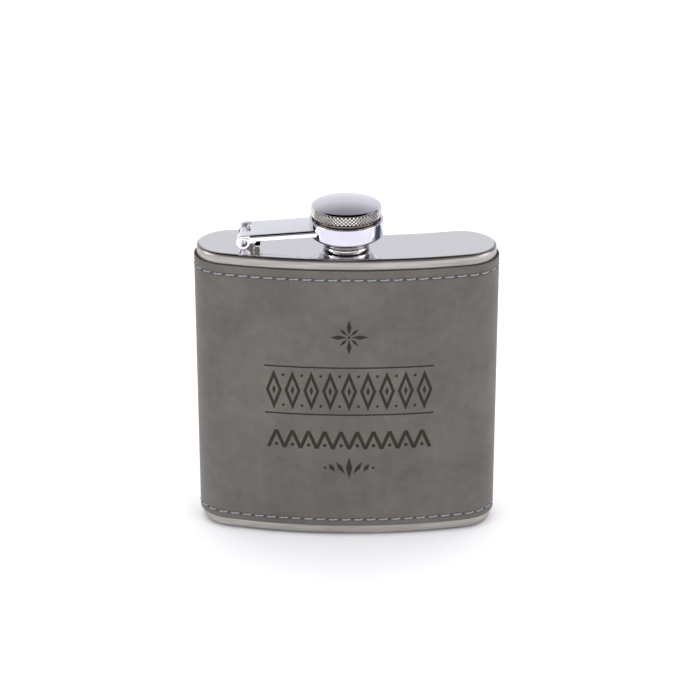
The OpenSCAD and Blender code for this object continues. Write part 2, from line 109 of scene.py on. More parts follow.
# %% The finish that holds the nodes
class Finish:
    """A material in the making, with its shader's even values given by name."""

    def __init__(self, name, even):
        self.material = bpy.data.materials.new(name)
        self.material.use_nodes = True
        self.tree = self.material.node_tree
        self.shader = self.tree.nodes["Principled BSDF"]
        for socket, value in even.items():
            self.shader.inputs[socket].default_value = value
        self.place = self.node("ShaderNodeTexCoord", {}, {}, "Object")

    def node(self, kind, settings, sockets, output=0):
        """Adds a node: its settings first, then what goes into its sockets."""
        made = self.tree.nodes.new(kind)
        for key, value in settings.items():
            setattr(made, key, value)
        for key, value in sockets.items():
            self.join(value, made.inputs[key])
        return Wire(self, made.outputs[output])

    def join(self, value, socket):
        if isinstance(value, Wire):
            self.tree.links.new(value.socket, socket)
        else:
            socket.default_value = value

    def drive(self, **varying):
        """Links what varies over the surface to the shader; Base_Color is Base Color."""
        for socket, value in varying.items():
            self.join(value, self.shader.inputs[socket.replace("_", " ")])

    def noise(self, size, stretch=(1, 1, 1), detail=3.0, rough=0.5, shift=(0, 0, 0)):
        """Noise between 0 and 1 whose lumps are about `size` metres across."""
        scale = tuple(1 / s for s in stretch)
        place = self.node("ShaderNodeMapping", {}, {"Vector": self.place, "Scale": scale,
                                                    "Location": shift})
        return self.node("ShaderNodeTexNoise", {}, {"Vector": place, "Scale": 1 / size,
                                                    "Detail": detail, "Roughness": rough})

    def spread(self, wire, low, high, to_low=0.0, to_high=1.0):
        """Stretches a range of values over another and clamps it there."""
        return self.node("ShaderNodeMapRange", {"clamp": True}, {
            "Value": wire, "From Min": low, "From Max": high, "To Min": to_low, "To Max": to_high})

    def mix(self, share, first, second):
        """A colour between two others."""
        return self.node("ShaderNodeMix", {"data_type": "RGBA"}, {0: share, 6: first, 7: second}, 2)

    def bump(self, height, depth, strength=1.0):
        return self.node("ShaderNodeBump", {}, {"Height": height, "Distance": depth,
                                                "Strength": strength})


def rgb(red, green, blue):
    """A colour given in the 0 to 255 of a colour picker, as the linear light a shader takes."""
    def linear(part):
        part /= 255
        return part / 12.92 if part <= 0.04045 else ((part + 0.055) / 1.055) ** 2.4
    return (linear(red), linear(green), linear(blue), 1.0)


# %% [markdown]
# ## Metals
# Chrome, polished plate and brushed steel are the same shader with different polish. What tells
# them apart is the pattern of the polish: chrome has faint smears, a buffed plate has fine lines
# and shallow waves, and a brushed band has long streaks that run round the body.

# %% Chrome, polished plate, brushed steel, brass
def chrome_finish(name, dull, bright):
    chrome = Finish(name, {"Metallic": 1.0, "IOR": 2.5})
    smear = chrome.noise(9 * MM, detail=4.0)
    fine = chrome.noise(0.6 * MM, stretch=(4, 1, 1), detail=2.0)
    waves = chrome.noise(6 * MM, detail=1.0, shift=(0.2, 0.1, 0))
    chrome.drive(
        Base_Color=chrome.mix(smear, dull, bright),
        Roughness=0.03 + 0.05 * chrome.spread(smear, 0.35, 0.75) + 0.02 * fine,
        Normal=chrome.bump(waves, 0.03 * MM))
    return chrome.material


def knurl_finish():
    knurl = Finish("knurled_chrome", {"Metallic": 1.0, "IOR": 2.5})
    smear = knurl.noise(2.5 * MM, detail=3.0)
    fine = knurl.noise(0.1 * MM, detail=2.0)
    flat = knurl.node("ShaderNodeVectorMath", {"operation": "MULTIPLY"},
                      {0: knurl.place, 1: (1, 1, 0)})
    reach = knurl.node("ShaderNodeVectorMath", {"operation": "LENGTH"}, {0: flat}, "Value")
    groove_reach, crown_reach = 10.54 * MM, 10.62 * MM
    # Where the radius drops into the grooves the colour goes near black: painted shade between the
    # pyramids, with the bright chrome kept on the crowns.
    crown_vs_groove_shade = knurl.spread(reach, groove_reach, crown_reach)
    knurl.drive(
        Base_Color=knurl.mix(crown_vs_groove_shade, rgb(52, 46, 42),
                             knurl.mix(smear, rgb(243, 239, 235), rgb(252, 250, 247))),
        Roughness=0.16 + 0.12 * smear + 0.06 * fine,
        Normal=knurl.bump(fine, 0.008 * MM))
    return knurl.material


def plate_finish():
    plate = Finish("polished_plate", {"Metallic": 1.0, "IOR": 2.5})
    waves = plate.noise(14 * MM, detail=1.0)
    lines = plate.noise(0.3 * MM, stretch=(30, 1, 1), detail=2.0)
    smear = plate.noise(12 * MM, stretch=(2, 1, 1), detail=4.0, shift=(0.1, 0, 0))
    plate.drive(
        Base_Color=plate.mix(smear, rgb(233, 232, 233), rgb(240, 239, 239)),
        Roughness=0.05 + 0.06 * plate.spread(smear, 0.3, 0.8) + 0.03 * lines,
        Normal=plate.bump(waves + 0.012 * lines, 0.05 * MM))
    return plate.material


def brushed_finish():
    brushed = Finish("brushed_steel", {"Metallic": 1.0, "IOR": 2.5})
    streak = brushed.noise(0.16 * MM, stretch=(60, 60, 1), detail=4.0, rough=0.65)
    band = brushed.noise(1.1 * MM, stretch=(14, 14, 1), detail=2.0)
    patch = brushed.noise(16 * MM, stretch=(1, 1, 2), detail=2.0, shift=(0, 0.3, 0))
    tone = (0.55 * streak + 0.45 * band).clamped()
    brushed.drive(
        Base_Color=brushed.mix(brushed.spread(tone, 0.35, 0.65),
                               brushed.mix(patch, rgb(136, 130, 125), rgb(160, 154, 149)),
                               rgb(196, 192, 188)),
        Roughness=0.24 + 0.16 * brushed.spread(tone, 0.3, 0.7) + 0.05 * patch,
        Normal=brushed.bump(streak + 0.4 * band, 0.012 * MM))
    return brushed.material


def brass_finish():
    brass = Finish("plated_brass", {"Metallic": 1.0, "IOR": 2.0})
    rings = brass.noise(0.12 * MM, stretch=(80, 80, 1), detail=2.0)
    tarnish = brass.noise(3 * MM, detail=5.0)
    brass.drive(
        Base_Color=brass.mix(brass.spread(tarnish, 0.4, 0.7), rgb(176, 166, 154),
                             rgb(132, 119, 104)),
        Roughness=0.2 + 0.2 * tarnish + 0.05 * rings,
        Normal=brass.bump(rings, 0.006 * MM))
    return brass.material


chrome = chrome_finish("chrome", rgb(232, 232, 240), rgb(241, 240, 244))
# The next two are copies of the same chrome: the strap's is made lighter as painted light, and the
# collar's darker and bluish as painted shade with a painted bluish reflection.
strap_chrome_painted_light = chrome_finish("strap_chrome_painted_light", rgb(249, 251, 255), rgb(253, 253, 255))
collar_chrome_painted_shade = chrome_finish("collar_chrome_painted_shade", rgb(196, 196, 214), rgb(231, 229, 236))
knurl_chrome, polished_plate = knurl_finish(), plate_finish()
brushed_steel, plated_brass = brushed_finish(), brass_finish()
print("metals:", [m.name for m in (chrome, strap_chrome_painted_light, collar_chrome_painted_shade, knurl_chrome,
                                   polished_plate, brushed_steel, plated_brass)])

# %% [markdown]
# ## Leather, its burnt ornament and its cut edge
# Smooth leatherette is never one grey. Soft clouds come from the dyeing, mid-sized blotches from
# the backing, and a fine grain catches the light. The nodes add the three at their real sizes. A
# laser burns the ornament, which leaves a dark brown floor, and a knife leaves the darker cut
# edge.

# %% Leather
def leather_finish():
    leather = Finish("grey_leather", {"Sheen Weight": 0.18, "Sheen Roughness": 0.45,
                                      "Specular IOR Level": 0.35})
    clouds = leather.noise(17 * MM, detail=3.0, rough=0.55)
    blotch = leather.noise(3.2 * MM, detail=4.0, rough=0.6, shift=(0.4, 0.1, 0.2))
    grain = leather.noise(0.42 * MM, detail=3.0, rough=0.6)
    pore = leather.node("ShaderNodeTexVoronoi", {"feature": "F1"},
                        {"Vector": leather.place, "Scale": 1 / (0.55 * MM)})
    pressed = leather.node("ShaderNodeAttribute", {"attribute_name": "pressed"}, {}, "Fac")
    tone = leather.spread(0.5 * clouds + 0.34 * blotch + 0.16 * grain, 0.36, 0.64)
    skin = leather.mix(tone, rgb(86, 82, 77), rgb(105, 101, 95))
    leather.drive(
        # The stitch grooves and needle holes are darkened here by the pressed attribute: painted
        # shade.
        Base_Color=leather.mix(0.75 * pressed, skin, rgb(48, 45, 43)),
        Roughness=0.62 + 0.16 * blotch + 0.1 * pressed,
        Normal=leather.bump(grain + 0.5 * pore + 0.9 * blotch, 0.05 * MM, 0.8))
    return leather.material


def burnt_finish():
    burnt = Finish("burnt_leather", {"Specular IOR Level": 0.3})
    char = burnt.noise(0.35 * MM, detail=4.0, rough=0.6)
    scan = burnt.noise(0.12 * MM, stretch=(20, 20, 1), detail=1.0)
    burnt.drive(
        Base_Color=burnt.mix(char, rgb(42, 35, 29), rgb(58, 50, 42)),
        Roughness=0.7 + 0.2 * char,
        Normal=burnt.bump(char + 0.5 * scan, 0.04 * MM))
    return burnt.material


def cut_edge_finish():
    edge = Finish("cut_edge", {"Specular IOR Level": 0.3})
    fibre = edge.noise(0.12 * MM, stretch=(3, 3, 1), detail=4.0)
    edge.drive(
        Base_Color=edge.mix(fibre, rgb(58, 55, 52), rgb(86, 82, 78)),
        Roughness=0.75 + 0.15 * fibre,
        Normal=edge.bump(fibre, 0.05 * MM))
    return edge.material


grey_leather, burnt_leather, cut_edge = leather_finish(), burnt_finish(), cut_edge_finish()
print("leather:", grey_leather.name, burnt_leather.name, cut_edge.name)

# %% [markdown]
# ## Thread, lining and rubber
# The thread is two-ply polyester, so it has a soft shine and tiny fibres along it. The lining is a
# woven cloth that only shows as a dark line, and the gasket is a dull rubber.

# %% Thread, lining and rubber
def thread_finish():
    thread = Finish("thread", {"Sheen Weight": 0.4, "Sheen Roughness": 0.4,
                               "Specular IOR Level": 0.4})
    fibre = thread.noise(0.07 * MM, stretch=(5, 5, 1), detail=2.0)
    fleck = thread.noise(1.5 * MM, detail=2.0)
    thread.drive(
        Base_Color=thread.mix(0.6 * fibre + 0.4 * fleck, rgb(122, 128, 136), rgb(176, 184, 192)),
        Roughness=0.5 + 0.2 * fibre,
        Normal=thread.bump(fibre, 0.03 * MM))
    return thread.material


def lining_finish():
    lining = Finish("lining_cloth", {"Sheen Weight": 0.2, "Specular IOR Level": 0.2})
    wave = {"Scale": 1 / (0.5 * MM), "Distortion": 0.3}
    weft = lining.node("ShaderNodeTexWave", {"bands_direction": "Z"},
                       {"Vector": lining.place, **wave})
    warp = lining.node("ShaderNodeTexWave", {"bands_direction": "X"},
                       {"Vector": lining.place, **wave})
    weave = (0.5 * weft + 0.5 * warp).clamped()
    lining.drive(
        Base_Color=lining.mix(weave, rgb(34, 32, 31), rgb(62, 59, 56)),
        Roughness=0.8 + 0.1 * weave,
        Normal=lining.bump(weave, 0.05 * MM))
    return lining.material


def rubber_finish():
    rubber = Finish("gasket_rubber", {"Specular IOR Level": 0.4})
    bloom = rubber.noise(1.2 * MM, detail=5.0)
    rubber.drive(
        Base_Color=rubber.mix(bloom, rgb(34, 34, 36), rgb(58, 58, 60)),
        Roughness=0.55 + 0.25 * bloom,
        Normal=rubber.bump(bloom, 0.03 * MM))
    return rubber.material


thread, lining_cloth, gasket_rubber = thread_finish(), lining_finish(), rubber_finish()
print("soft finishes:", thread.name, lining_cloth.name, gasket_rubber.name)

# %% [markdown]
# ## From a bmesh to a piece of the flask
# Every piece ends the same way: its mesh becomes an object at the origin, shades smoothly except
# across sharp corners, rides on its body, and stands for its node of the working model.

# %% The last step of every piece
body_of = {node: body for body, nodes in frame["record"]["behaviour"]["bodies"].items()
           for node in nodes}


def finish_piece(bm, name, node, finishes, sharp=35):
    """Makes the piece `name` from a bmesh; edges that turn more than `sharp` degrees stay crisp."""
    mesh = bpy.data.meshes.new(name)
    bm.to_mesh(mesh)
    bm.free()
    for finish in finishes:
        mesh.materials.append(finish)
    mesh.shade_smooth()
    mesh.set_sharp_from_angle(angle=math.radians(sharp))
    made = bpy.data.objects.new(name, mesh)
    bpy.context.scene.collection.objects.link(made)
    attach(made, body_of[node])
    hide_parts(node)
    print(f"{name}: {len(mesh.polygons)} faces, rides on {body_of[node]}")
    return made


def verts_in(geom):
    return [g for g in geom if isinstance(g, bmesh.types.BMVert)]


def edges_in(geom):
    return [g for g in geom if isinstance(g, bmesh.types.BMEdge)]


def face_outwards(bm):
    """Closes doubled points and turns every face outwards."""
    bmesh.ops.remove_doubles(bm, verts=bm.verts, dist=NOTHING)
    bmesh.ops.recalc_face_normals(bm, faces=bm.faces)


def polyline(bm, points, closed):
    """Adds the corners of a section as points and joins them; a corner is (x, y, z, rounding)."""
    corners = [bm.verts.new(p[:3]) for p in points]
    for first, second in zip(corners, corners[1:]):
        bm.edges.new((first, second))
    if closed:
        bm.edges.new((corners[-1], corners[0]))
    for corner, (*_, rounding) in zip(corners, points):
        if rounding:
            bmesh.ops.bevel(bm, geom=[corner], offset=rounding, segments=5, affect="VERTICES",
                            profile=0.5, material=-1)
    return bm


# %% [markdown]
# ## Turned pieces
# The cap, its insert, the collar, the neck and the rings are all turned or spun on a lathe.
# Spinning one half-section about the axis makes them in the same way, and `use_merge` closes the
# last gap.

# %% The lathe
def lathe(section, steps=128, closed=True):
    """Spins a half-section of (radius, height, rounding) corners about the neck's axis."""
    bm = polyline(bmesh.new(), [(r, 0, z, rounding) for r, z, rounding in section], closed)
    bmesh.ops.spin(bm, geom=bm.verts[:] + bm.edges[:], axis=UP, cent=ORIGIN, angle=TURN,
                   steps=steps, use_merge=True)
    face_outwards(bm)
    return bm


def add_thread(bm, root, crest, start, turns, lead):
    """Adds a thread's ridge: a small section is spun while it climbs, and its ends die away."""
    foot, land, steps = 0.42 * MM, 0.12 * MM, 40
    inwards = math.copysign(0.1 * MM, root - crest)
    old = set(bm.verts)
    polyline(bm, [(root + inwards, 0, start - foot, 0), (crest, 0, start - land, 0),
                  (crest, 0, start + land, 0), (root + inwards, 0, start + foot, 0)], True)
    ridge = [v for v in bm.verts if v not in old]
    edges = list({e for v in ridge for e in v.link_edges})
    count = round(steps * turns)
    bmesh.ops.spin(bm, geom=ridge + edges, axis=UP, cent=ORIGIN, angle=TURN * turns,
                   dvec=(0, 0, lead / steps), steps=count)
    for vert in (v for v in bm.verts if v not in old):
        share = math.atan2(vert.co.y, vert.co.x) / TURN
        turn = share + round((vert.co.z - start) / lead - share)
        height = min(1.0, 0.1 + 3 * turn, 0.1 + 3 * (turns - turn))
        reach = vert.co.xy.length
        wanted = root + inwards + (reach - root - inwards) * max(height, 0.1)
        vert.co.xy *= wanted / reach
    fresh = [f for f in bm.faces if any(v not in old for v in f.verts)]
    ends = bmesh.ops.holes_fill(bm, edges=list({e for f in fresh for e in f.edges}), sides=4)
    bmesh.ops.recalc_face_normals(bm, faces=fresh + ends["faces"])


# %% [markdown]
# ## The outline of the body
# The body's outline is four arcs that run into one another: a bowed front, a hollow back and two
# round sides. The pieces that follow it are modelled flat, as a maker cuts them on the bench, and
# are then wrapped round it. `around` says where a point of the flat piece goes.

# %% The four arcs
steel_low, steel_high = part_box("front_shell")
plate_low, plate_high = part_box("top_plate")
base_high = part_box("bottom_plate")[1]
wrap_low, wrap_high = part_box("leather_wrap")
half_width, half_depth = steel_high.x, -steel_low.y
bow, side = 152.1 * MM, 11.0 * MM
side_x, bow_y = half_width - side, bow - half_depth
side_y = bow_y - math.sqrt((bow - side) ** 2 - side_x ** 2)
drop = side_y - half_depth
hollow = (side_x ** 2 + drop ** 2 - side ** 2) / (2 * (drop + side))
hollow_y = half_depth + hollow
bow_turn = math.atan2(side_x, bow_y - side_y)
hollow_turn = math.atan2(side_x, hollow_y - side_y)
side_turn = math.pi + hollow_turn - bow_turn
wrap_out = -wrap_low.y - half_depth
leather_thick = 0.56 * MM
wrap_mid = wrap_out - leather_thick / 2
bow_run = (bow + wrap_mid) * bow_turn
side_run = (side + wrap_mid) * side_turn
hollow_run = (hollow - wrap_mid) * hollow_turn
half_round = bow_run + side_run + hollow_run
print(f"round the wrap: {2 * half_round / MM:.1f} mm")


# %% Wrapping a flat piece
def around(along, out):
    """Where a point goes that is `along` from the middle of the front and `out` from the steel."""
    hand, along = math.copysign(1, along), abs(along)
    if along < bow_run:
        turn, centre, reach = along / bow_run * bow_turn, (0, bow_y), bow + out
    elif along < bow_run + side_run:
        turn = bow_turn + (along - bow_run) / side_run * side_turn
        centre, reach = (side_x, side_y), side + out
    else:
        turn = (half_round - along) / hollow_run * hollow_turn
        centre, reach = (0, hollow_y), hollow - out
    x, y = centre[0] + reach * math.sin(turn), centre[1] - reach * math.cos(turn)
    return hand * x, y


def wrap_round(bm):
    """Bends a flat piece that faces -Y round the outline."""
    for vert in bm.verts:
        vert.co.x, vert.co.y = around(vert.co.x, -vert.co.y)
    face_outwards(bm)


def strip(section, start, end, columns, closed=True):
    """Draws a section of (out, height, rounding) corners out flat from start to end."""
    bm = polyline(bmesh.new(), [(start, -out, z, rounding) for out, z, rounding in section], closed)
    bmesh.ops.spin(bm, geom=bm.verts[:] + bm.edges[:], axis=UP, cent=ORIGIN, angle=0,
                   steps=columns, dvec=((end - start) / columns, 0, 0))
    return bm


# %% [markdown]
# ## The steel body
# Two pressed half-shells meet at the round sides, and a plate closes each end. A plate is a strip
# with a rounded corner that goes right round, and a flat fill inside it. A narrow flat margin next
# to the rounding keeps the mirror of the plate true, because shading blends across shared corners.

# %% The two half-shells
sheet_thick = 0.6 * MM
side_seam = bow_run + (math.pi / 2 - bow_turn) / side_turn * side_run
shell_columns = 150


def shell_section(node):
    low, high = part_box(node)
    return [(0, low.z, 0), (0, high.z, 0), (-sheet_thick, high.z, 0), (-sheet_thick, low.z, 0)]


front = strip(shell_section("front_shell"), -side_seam, side_seam, shell_columns)
bmesh.ops.holes_fill(front, edges=front.edges, sides=4)
wrap_round(front)
finish_piece(front, "front_sheet", "front_shell", [brushed_steel])

# The back half is two strips that meet at the middle of the back
back = strip(shell_section("back_shell"), side_seam, half_round, shell_columns // 2)
bmesh.ops.mirror(back, geom=back.verts[:] + back.edges[:] + back.faces[:], axis="X", merge_dist=0)
wrap_round(back)
bmesh.ops.holes_fill(back, edges=back.edges, sides=4)
bmesh.ops.recalc_face_normals(back, faces=back.faces)
finish_piece(back, "back_sheet", "back_shell", [brushed_steel])


# %% The plates
def end_plate(section, hole):
    """A plate from the section of its rim; hole is a radius, or None where the plate is whole."""
    bm = strip(section, -half_round, half_round, 300, closed=False)
    wrap_round(bm)
    for z in (section[0][1], section[-1][1]):
        rim = [e for e in bm.edges if e.is_boundary and abs(e.verts[0].co.z - z) < NOTHING]
        if hole:
            ring = bmesh.ops.create_circle(bm, segments=96, radius=hole,
                                           matrix=Matrix.Translation((0, 0, z)))
            rim += list({e for v in ring["verts"] for e in v.link_edges})
        bmesh.ops.triangle_fill(bm, edges=rim, use_beauty=True, use_dissolve=False)
    if hole:
        bmesh.ops.bridge_loops(bm, edges=[e for e in bm.edges if e.is_boundary])
    bmesh.ops.recalc_face_normals(bm, faces=bm.faces)
    return bm


margin = 0.25 * MM
plate_round, plate_inside, plate_thick = 1.05 * MM, 1.1 * MM, 0.8 * MM
plate_hole = 5.0 * MM
top_section = [
    (-plate_round - margin, plate_high.z - plate_thick, 0),
    (-plate_inside, plate_high.z - plate_thick, 0), (-plate_inside, plate_low.z, 0),
    (0, plate_low.z, 0), (0, plate_high.z, plate_round),
    (-plate_round - margin, plate_high.z, 0)]
top_cover = finish_piece(end_plate(top_section, plate_hole), "top_cover", "top_plate",
                         [polished_plate, brushed_steel])
for face in top_cover.data.polygons:
    face.material_index = int(face.center.z < plate_high.z - 0.1 * plate_round)

base_round, base_inside = 1.45 * MM, 1.6 * MM
base_section = [
    (-base_round - 2 * margin, plate_thick, 0), (-base_inside, plate_thick, 0),
    (-base_inside, base_high.z, 0), (0, base_high.z, 0), (0, 0, base_round),
    (-base_round - 2 * margin, 0, 0)]
finish_piece(end_plate(base_section, None), "base_cover", "bottom_plate",
             [brushed_steel])

# %% [markdown]
# ## The neck
# The neck is a turned tube with a screw thread, a rolled lip for drinking and a bead that sits on
# the plate. Its flange is swaged under the plate, which holds it.

# %% The neck
neck_low, neck_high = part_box("neck")
mouth, neck_root, thread_depth = 4.3 * MM, 5.15 * MM, 0.45 * MM
thread_lead, thread_turns = 1.5 * MM, 2.75
thread_start = plate_high.z + 2.05 * MM
bead_r, bead_low, bead_high = 6.3 * MM, plate_high.z + 0.01 * MM, plate_high.z + 0.45 * MM
swage_r, swage_high, spigot_r = 6.2 * MM, neck_low.z + 0.6 * MM, 4.98 * MM
neck_section = [
    (mouth, neck_low.z, 0.1 * MM), (swage_r, neck_low.z, 0.15 * MM),
    (swage_r, swage_high, 0), (spigot_r, swage_high, 0),
    (spigot_r, bead_low, 0), (bead_r, bead_low, 0),
    (bead_r, bead_high, 0.3 * MM), (neck_root, bead_high, 0.12 * MM),
    (neck_root, neck_high.z, 0.4 * MM), (mouth, neck_high.z, 0.4 * MM)]
neck = lathe(neck_section, steps=96)
add_thread(neck, neck_root, neck_root + thread_depth, thread_start, thread_turns, thread_lead)
finish_piece(neck, "neck_tube", "neck", [polished_plate])

# %% [markdown]
# ## The collar
# The collar is a spun cup with a hole in its foot, through which the cap's sleeve passes, so the
# cap turns freely in it. Its outer corners are rolled softly, which makes the bright lines.

# %% The collar
collar_low, collar_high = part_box("arm_collar")
collar_r, collar_wall, foot_r, hole_r = collar_high.x, 0.9 * MM, 8.3 * MM, 7.1 * MM
slope_top = collar_low.z + 2.2 * MM
collar_section = [
    (hole_r, collar_low.z, 0.12 * MM), (foot_r, collar_low.z, 0.4 * MM),
    (collar_r, slope_top, 0.45 * MM), (collar_r, collar_high.z, 0.3 * MM),
    (collar_r - collar_wall, collar_high.z, 0.2 * MM),
    (collar_r - collar_wall, slope_top + 0.4 * MM, 0.3 * MM),
    (foot_r - 0.3 * MM, collar_low.z + collar_wall, 0.3 * MM),
    (hole_r, collar_low.z + collar_wall, 0.12 * MM)]
finish_piece(lathe(collar_section, steps=160), "collar", "arm_collar",
             [collar_chrome_painted_shade], sharp=50)

# %% [markdown]
# ## The cap
# The cap is a domed cup with a knurled grip. A knurl is cut by two wheels that press crossing
# grooves, so what is left is a field of small pyramids. A flat grid at half the pitch has a point
# at every crossing and at every peak: the crossings are sunk, joined across each face to make the
# groove lines, and the grid is rolled into a ring.

# %% The cap's shell
cap_low, cap_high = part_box("cap_shell")
cap_r, cap_wall, knurl_depth = cap_high.x, 0.85 * MM, 0.34 * MM
side_top = cap_low.z + 3.6 * MM
core_r = cap_r - knurl_depth - 0.03 * MM
dome_rise = cap_high.z - side_top
dome_r = (cap_r ** 2 + dome_rise ** 2) / (2 * dome_rise)
dome_centre = cap_high.z - dome_r


def dome_at(reach, drop_by=0.0):
    """Height of the dome at a distance from its axis."""
    return dome_centre + math.sqrt((dome_r - drop_by) ** 2 - reach ** 2)


edge_roll, roll_end = 1.5 * MM, math.radians(52)
roll_centre = cap_r - 0.02 * MM - edge_roll * math.sin(roll_end)
roll_start = math.asin(roll_centre / (dome_r - edge_roll))
dome_edge = roll_centre + edge_roll * math.sin(roll_start)
roll_high = dome_at(dome_edge) - edge_roll * math.cos(roll_start)
dome_steps, roll_steps = 16, 8
dome_section = [(dome_edge * i / dome_steps, dome_at(dome_edge * i / dome_steps), 0)
                for i in range(dome_steps + 1)]
roll_turns = [roll_start + (roll_end - roll_start) * i / roll_steps
              for i in range(1, roll_steps + 1)]
roll = [(roll_centre + edge_roll * math.sin(t), roll_high + edge_roll * math.cos(t), 0)
        for t in roll_turns]
side_top = roll[-1][1] - 0.05 * MM
roll += [(cap_r - 0.06 * MM, side_top, 0), (core_r, side_top - 0.12 * MM, 0)]
under = [(core_r, cap_low.z + 0.12 * MM, 0), (core_r - 0.12 * MM, cap_low.z, 0),
         (cap_r - cap_wall, cap_low.z, 0)]
ceiling_steps = 6
ceiling_r = cap_r - cap_wall
ceiling = [(ceiling_r * i / ceiling_steps, dome_at(ceiling_r * i / ceiling_steps, cap_wall), 0)
           for i in range(ceiling_steps, -1, -1)]
cap = lathe(dome_section + roll + under + ceiling, steps=160, closed=False)

# %% The knurl
knurl_round, knurl_rows = 56, 3
knurl_low, knurl_high = cap_low.z + 0.08 * MM, side_top
knurl = bmesh.new()
bmesh.ops.create_grid(knurl, x_segments=2 * knurl_round, y_segments=2 * knurl_rows, size=1)
crossings, knurl_points = [], {}
for vert in knurl.verts:
    column = round((vert.co.x + 1) * knurl_round)
    row = round((vert.co.y + 1) * knurl_rows)
    if (column + row) % 2 == 0:
        crossings.append(vert)
    at_rim = row in (0, 2 * knurl_rows)
    sunk = knurl_depth if (column + row) % 2 == 0 or at_rim else 0
    turn = TURN * column / (2 * knurl_round)
    height = knurl_low + (knurl_high - knurl_low) * row / (2 * knurl_rows)
    knurl_points[vert] = ((cap_r - sunk) * math.cos(turn), (cap_r - sunk) * math.sin(turn), height)
bmesh.ops.connect_verts(knurl, verts=crossings)
for vert, point in knurl_points.items():
    vert.co = point
face_outwards(knurl)
peaks = [v for v in knurl.verts if v.co.xy.length > cap_r - 0.5 * knurl_depth]
peak_flat = 0.17 * MM
bmesh.ops.bevel(knurl, geom=peaks, offset=peak_flat, segments=1, affect="VERTICES", profile=0.5,
                material=-1)
rim = [e for e in knurl.edges if e.is_boundary]
print(f"knurl: {len(peaks)} pyramids, {len(knurl.faces)} faces")

# %% Joining the knurl to the shell
rings = bmesh.ops.extrude_edge_only(knurl, edges=rim)["geom"]
for vert in verts_in(rings):
    vert.co.xy *= (core_r - 0.05 * MM) / vert.co.xy.length
rim = [e for e in knurl.edges if e.is_boundary]
bmesh.ops.bridge_loops(knurl, edges=rim)
bmesh.ops.recalc_face_normals(knurl, faces=knurl.faces)
knurl_mesh = bpy.data.meshes.new("knurl")
knurl.to_mesh(knurl_mesh)
knurl.free()
shell_faces = len(cap.faces)
cap.from_mesh(knurl_mesh)
cap.faces.ensure_lookup_table()
for face in cap.faces[shell_faces:]:
    face.material_index = 1
finish_piece(cap, "cap_cover", "cap_shell", [chrome, knurl_chrome], sharp=18)

# %% [markdown]
# ## Inside the cap
# The threaded insert is turned from brass and pressed into the shell. Its sleeve passes through the
# collar, a ring pressed on its end keeps the two together, and a rubber disc in its ceiling seals
# the mouth.

# %% The insert, the ring and the gasket
insert_low, insert_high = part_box("cap_thread_insert")
cap_thread_root = neck_root + 2 * thread_depth + 0.35 * MM
sleeve_r, flange_r = 6.9 * MM, insert_high.x
gasket_low, gasket_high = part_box("cap_gasket")
insert_ceiling = gasket_high.z + 0.05 * MM
insert = lathe([
    (0, insert_high.z, 0), (flange_r, insert_high.z, 0.15 * MM),
    (flange_r, insert_high.z - 1.6 * MM, 0.2 * MM), (sleeve_r, insert_high.z - 1.6 * MM, 0.1 * MM),
    (sleeve_r, insert_low.z, 0.15 * MM), (cap_thread_root, insert_low.z, 0.2 * MM),
    (cap_thread_root, insert_ceiling, 0), (0, insert_ceiling, 0)], steps=96, closed=False)
add_thread(insert, cap_thread_root, cap_thread_root - thread_depth, thread_start, thread_turns,
           thread_lead)
finish_piece(insert, "cap_insert", "cap_thread_insert", [plated_brass])

ring_low, ring_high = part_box("cap_retaining_ring")
finish_piece(lathe([
    (sleeve_r + 0.02 * MM, ring_low.z, 0.1 * MM), (ring_high.x, ring_low.z, 0.25 * MM),
    (ring_high.x, ring_high.z, 0.2 * MM), (sleeve_r + 0.02 * MM, ring_high.z, 0.1 * MM)]),
    "keeper_ring", "cap_retaining_ring", [chrome])

seat = mouth + 0.4 * MM
finish_piece(lathe([
    (0, gasket_low.z, 0), (seat - 0.7 * MM, gasket_low.z, 0.1 * MM),
    (seat - 0.5 * MM, gasket_low.z + 0.06 * MM, 0.05 * MM),
    (seat + 0.5 * MM, gasket_low.z + 0.06 * MM, 0.05 * MM),
    (seat + 0.7 * MM, gasket_low.z, 0.1 * MM),
    (gasket_high.x, gasket_low.z, 0.2 * MM), (gasket_high.x, gasket_high.z, 0.2 * MM),
    (0, gasket_high.z, 0)], steps=96, closed=False),
    "gasket", "cap_gasket", [gasket_rubber])

# %% [markdown]
# ## The arm's strap
# The strap is pressed from one sheet. Its long edges are turned down as flanges and its two tongues
# are rolled round the pin as barrels, with a notch between them for the link. So it starts as a
# flat grid; its edges are spun about the bend lines, and only then does the sheet get its
# thickness.

# %% The strap's flat sheet
strap_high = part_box("arm_strap")[1]
link_low, link_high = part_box("hinge_link")
pin_low, pin_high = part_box("upper_hinge_pin")
pin_at = Vector(((pin_low.x + pin_high.x) / 2, 0, (pin_low.z + pin_high.z) / 2))
hinge_y = (link_low.y + link_high.y) / 2
strap_half, strap_thick, flange_depth = strap_high.y, 0.62 * MM, 1.9 * MM
barrel_r, notch_half = 2.05 * MM, (link_high.y - link_low.y) / 2 + 0.2 * MM
notch_end = pin_at.x + barrel_r + 0.1 * MM
bend_r = 0.55 * MM
strap_mid = barrel_r - strap_thick / 2
strap_rise = math.atan2(7.1 * MM - (pin_at.z - plate_high.z) - barrel_r, -pin_at.x - collar_r)
strap_run = -pin_at.x

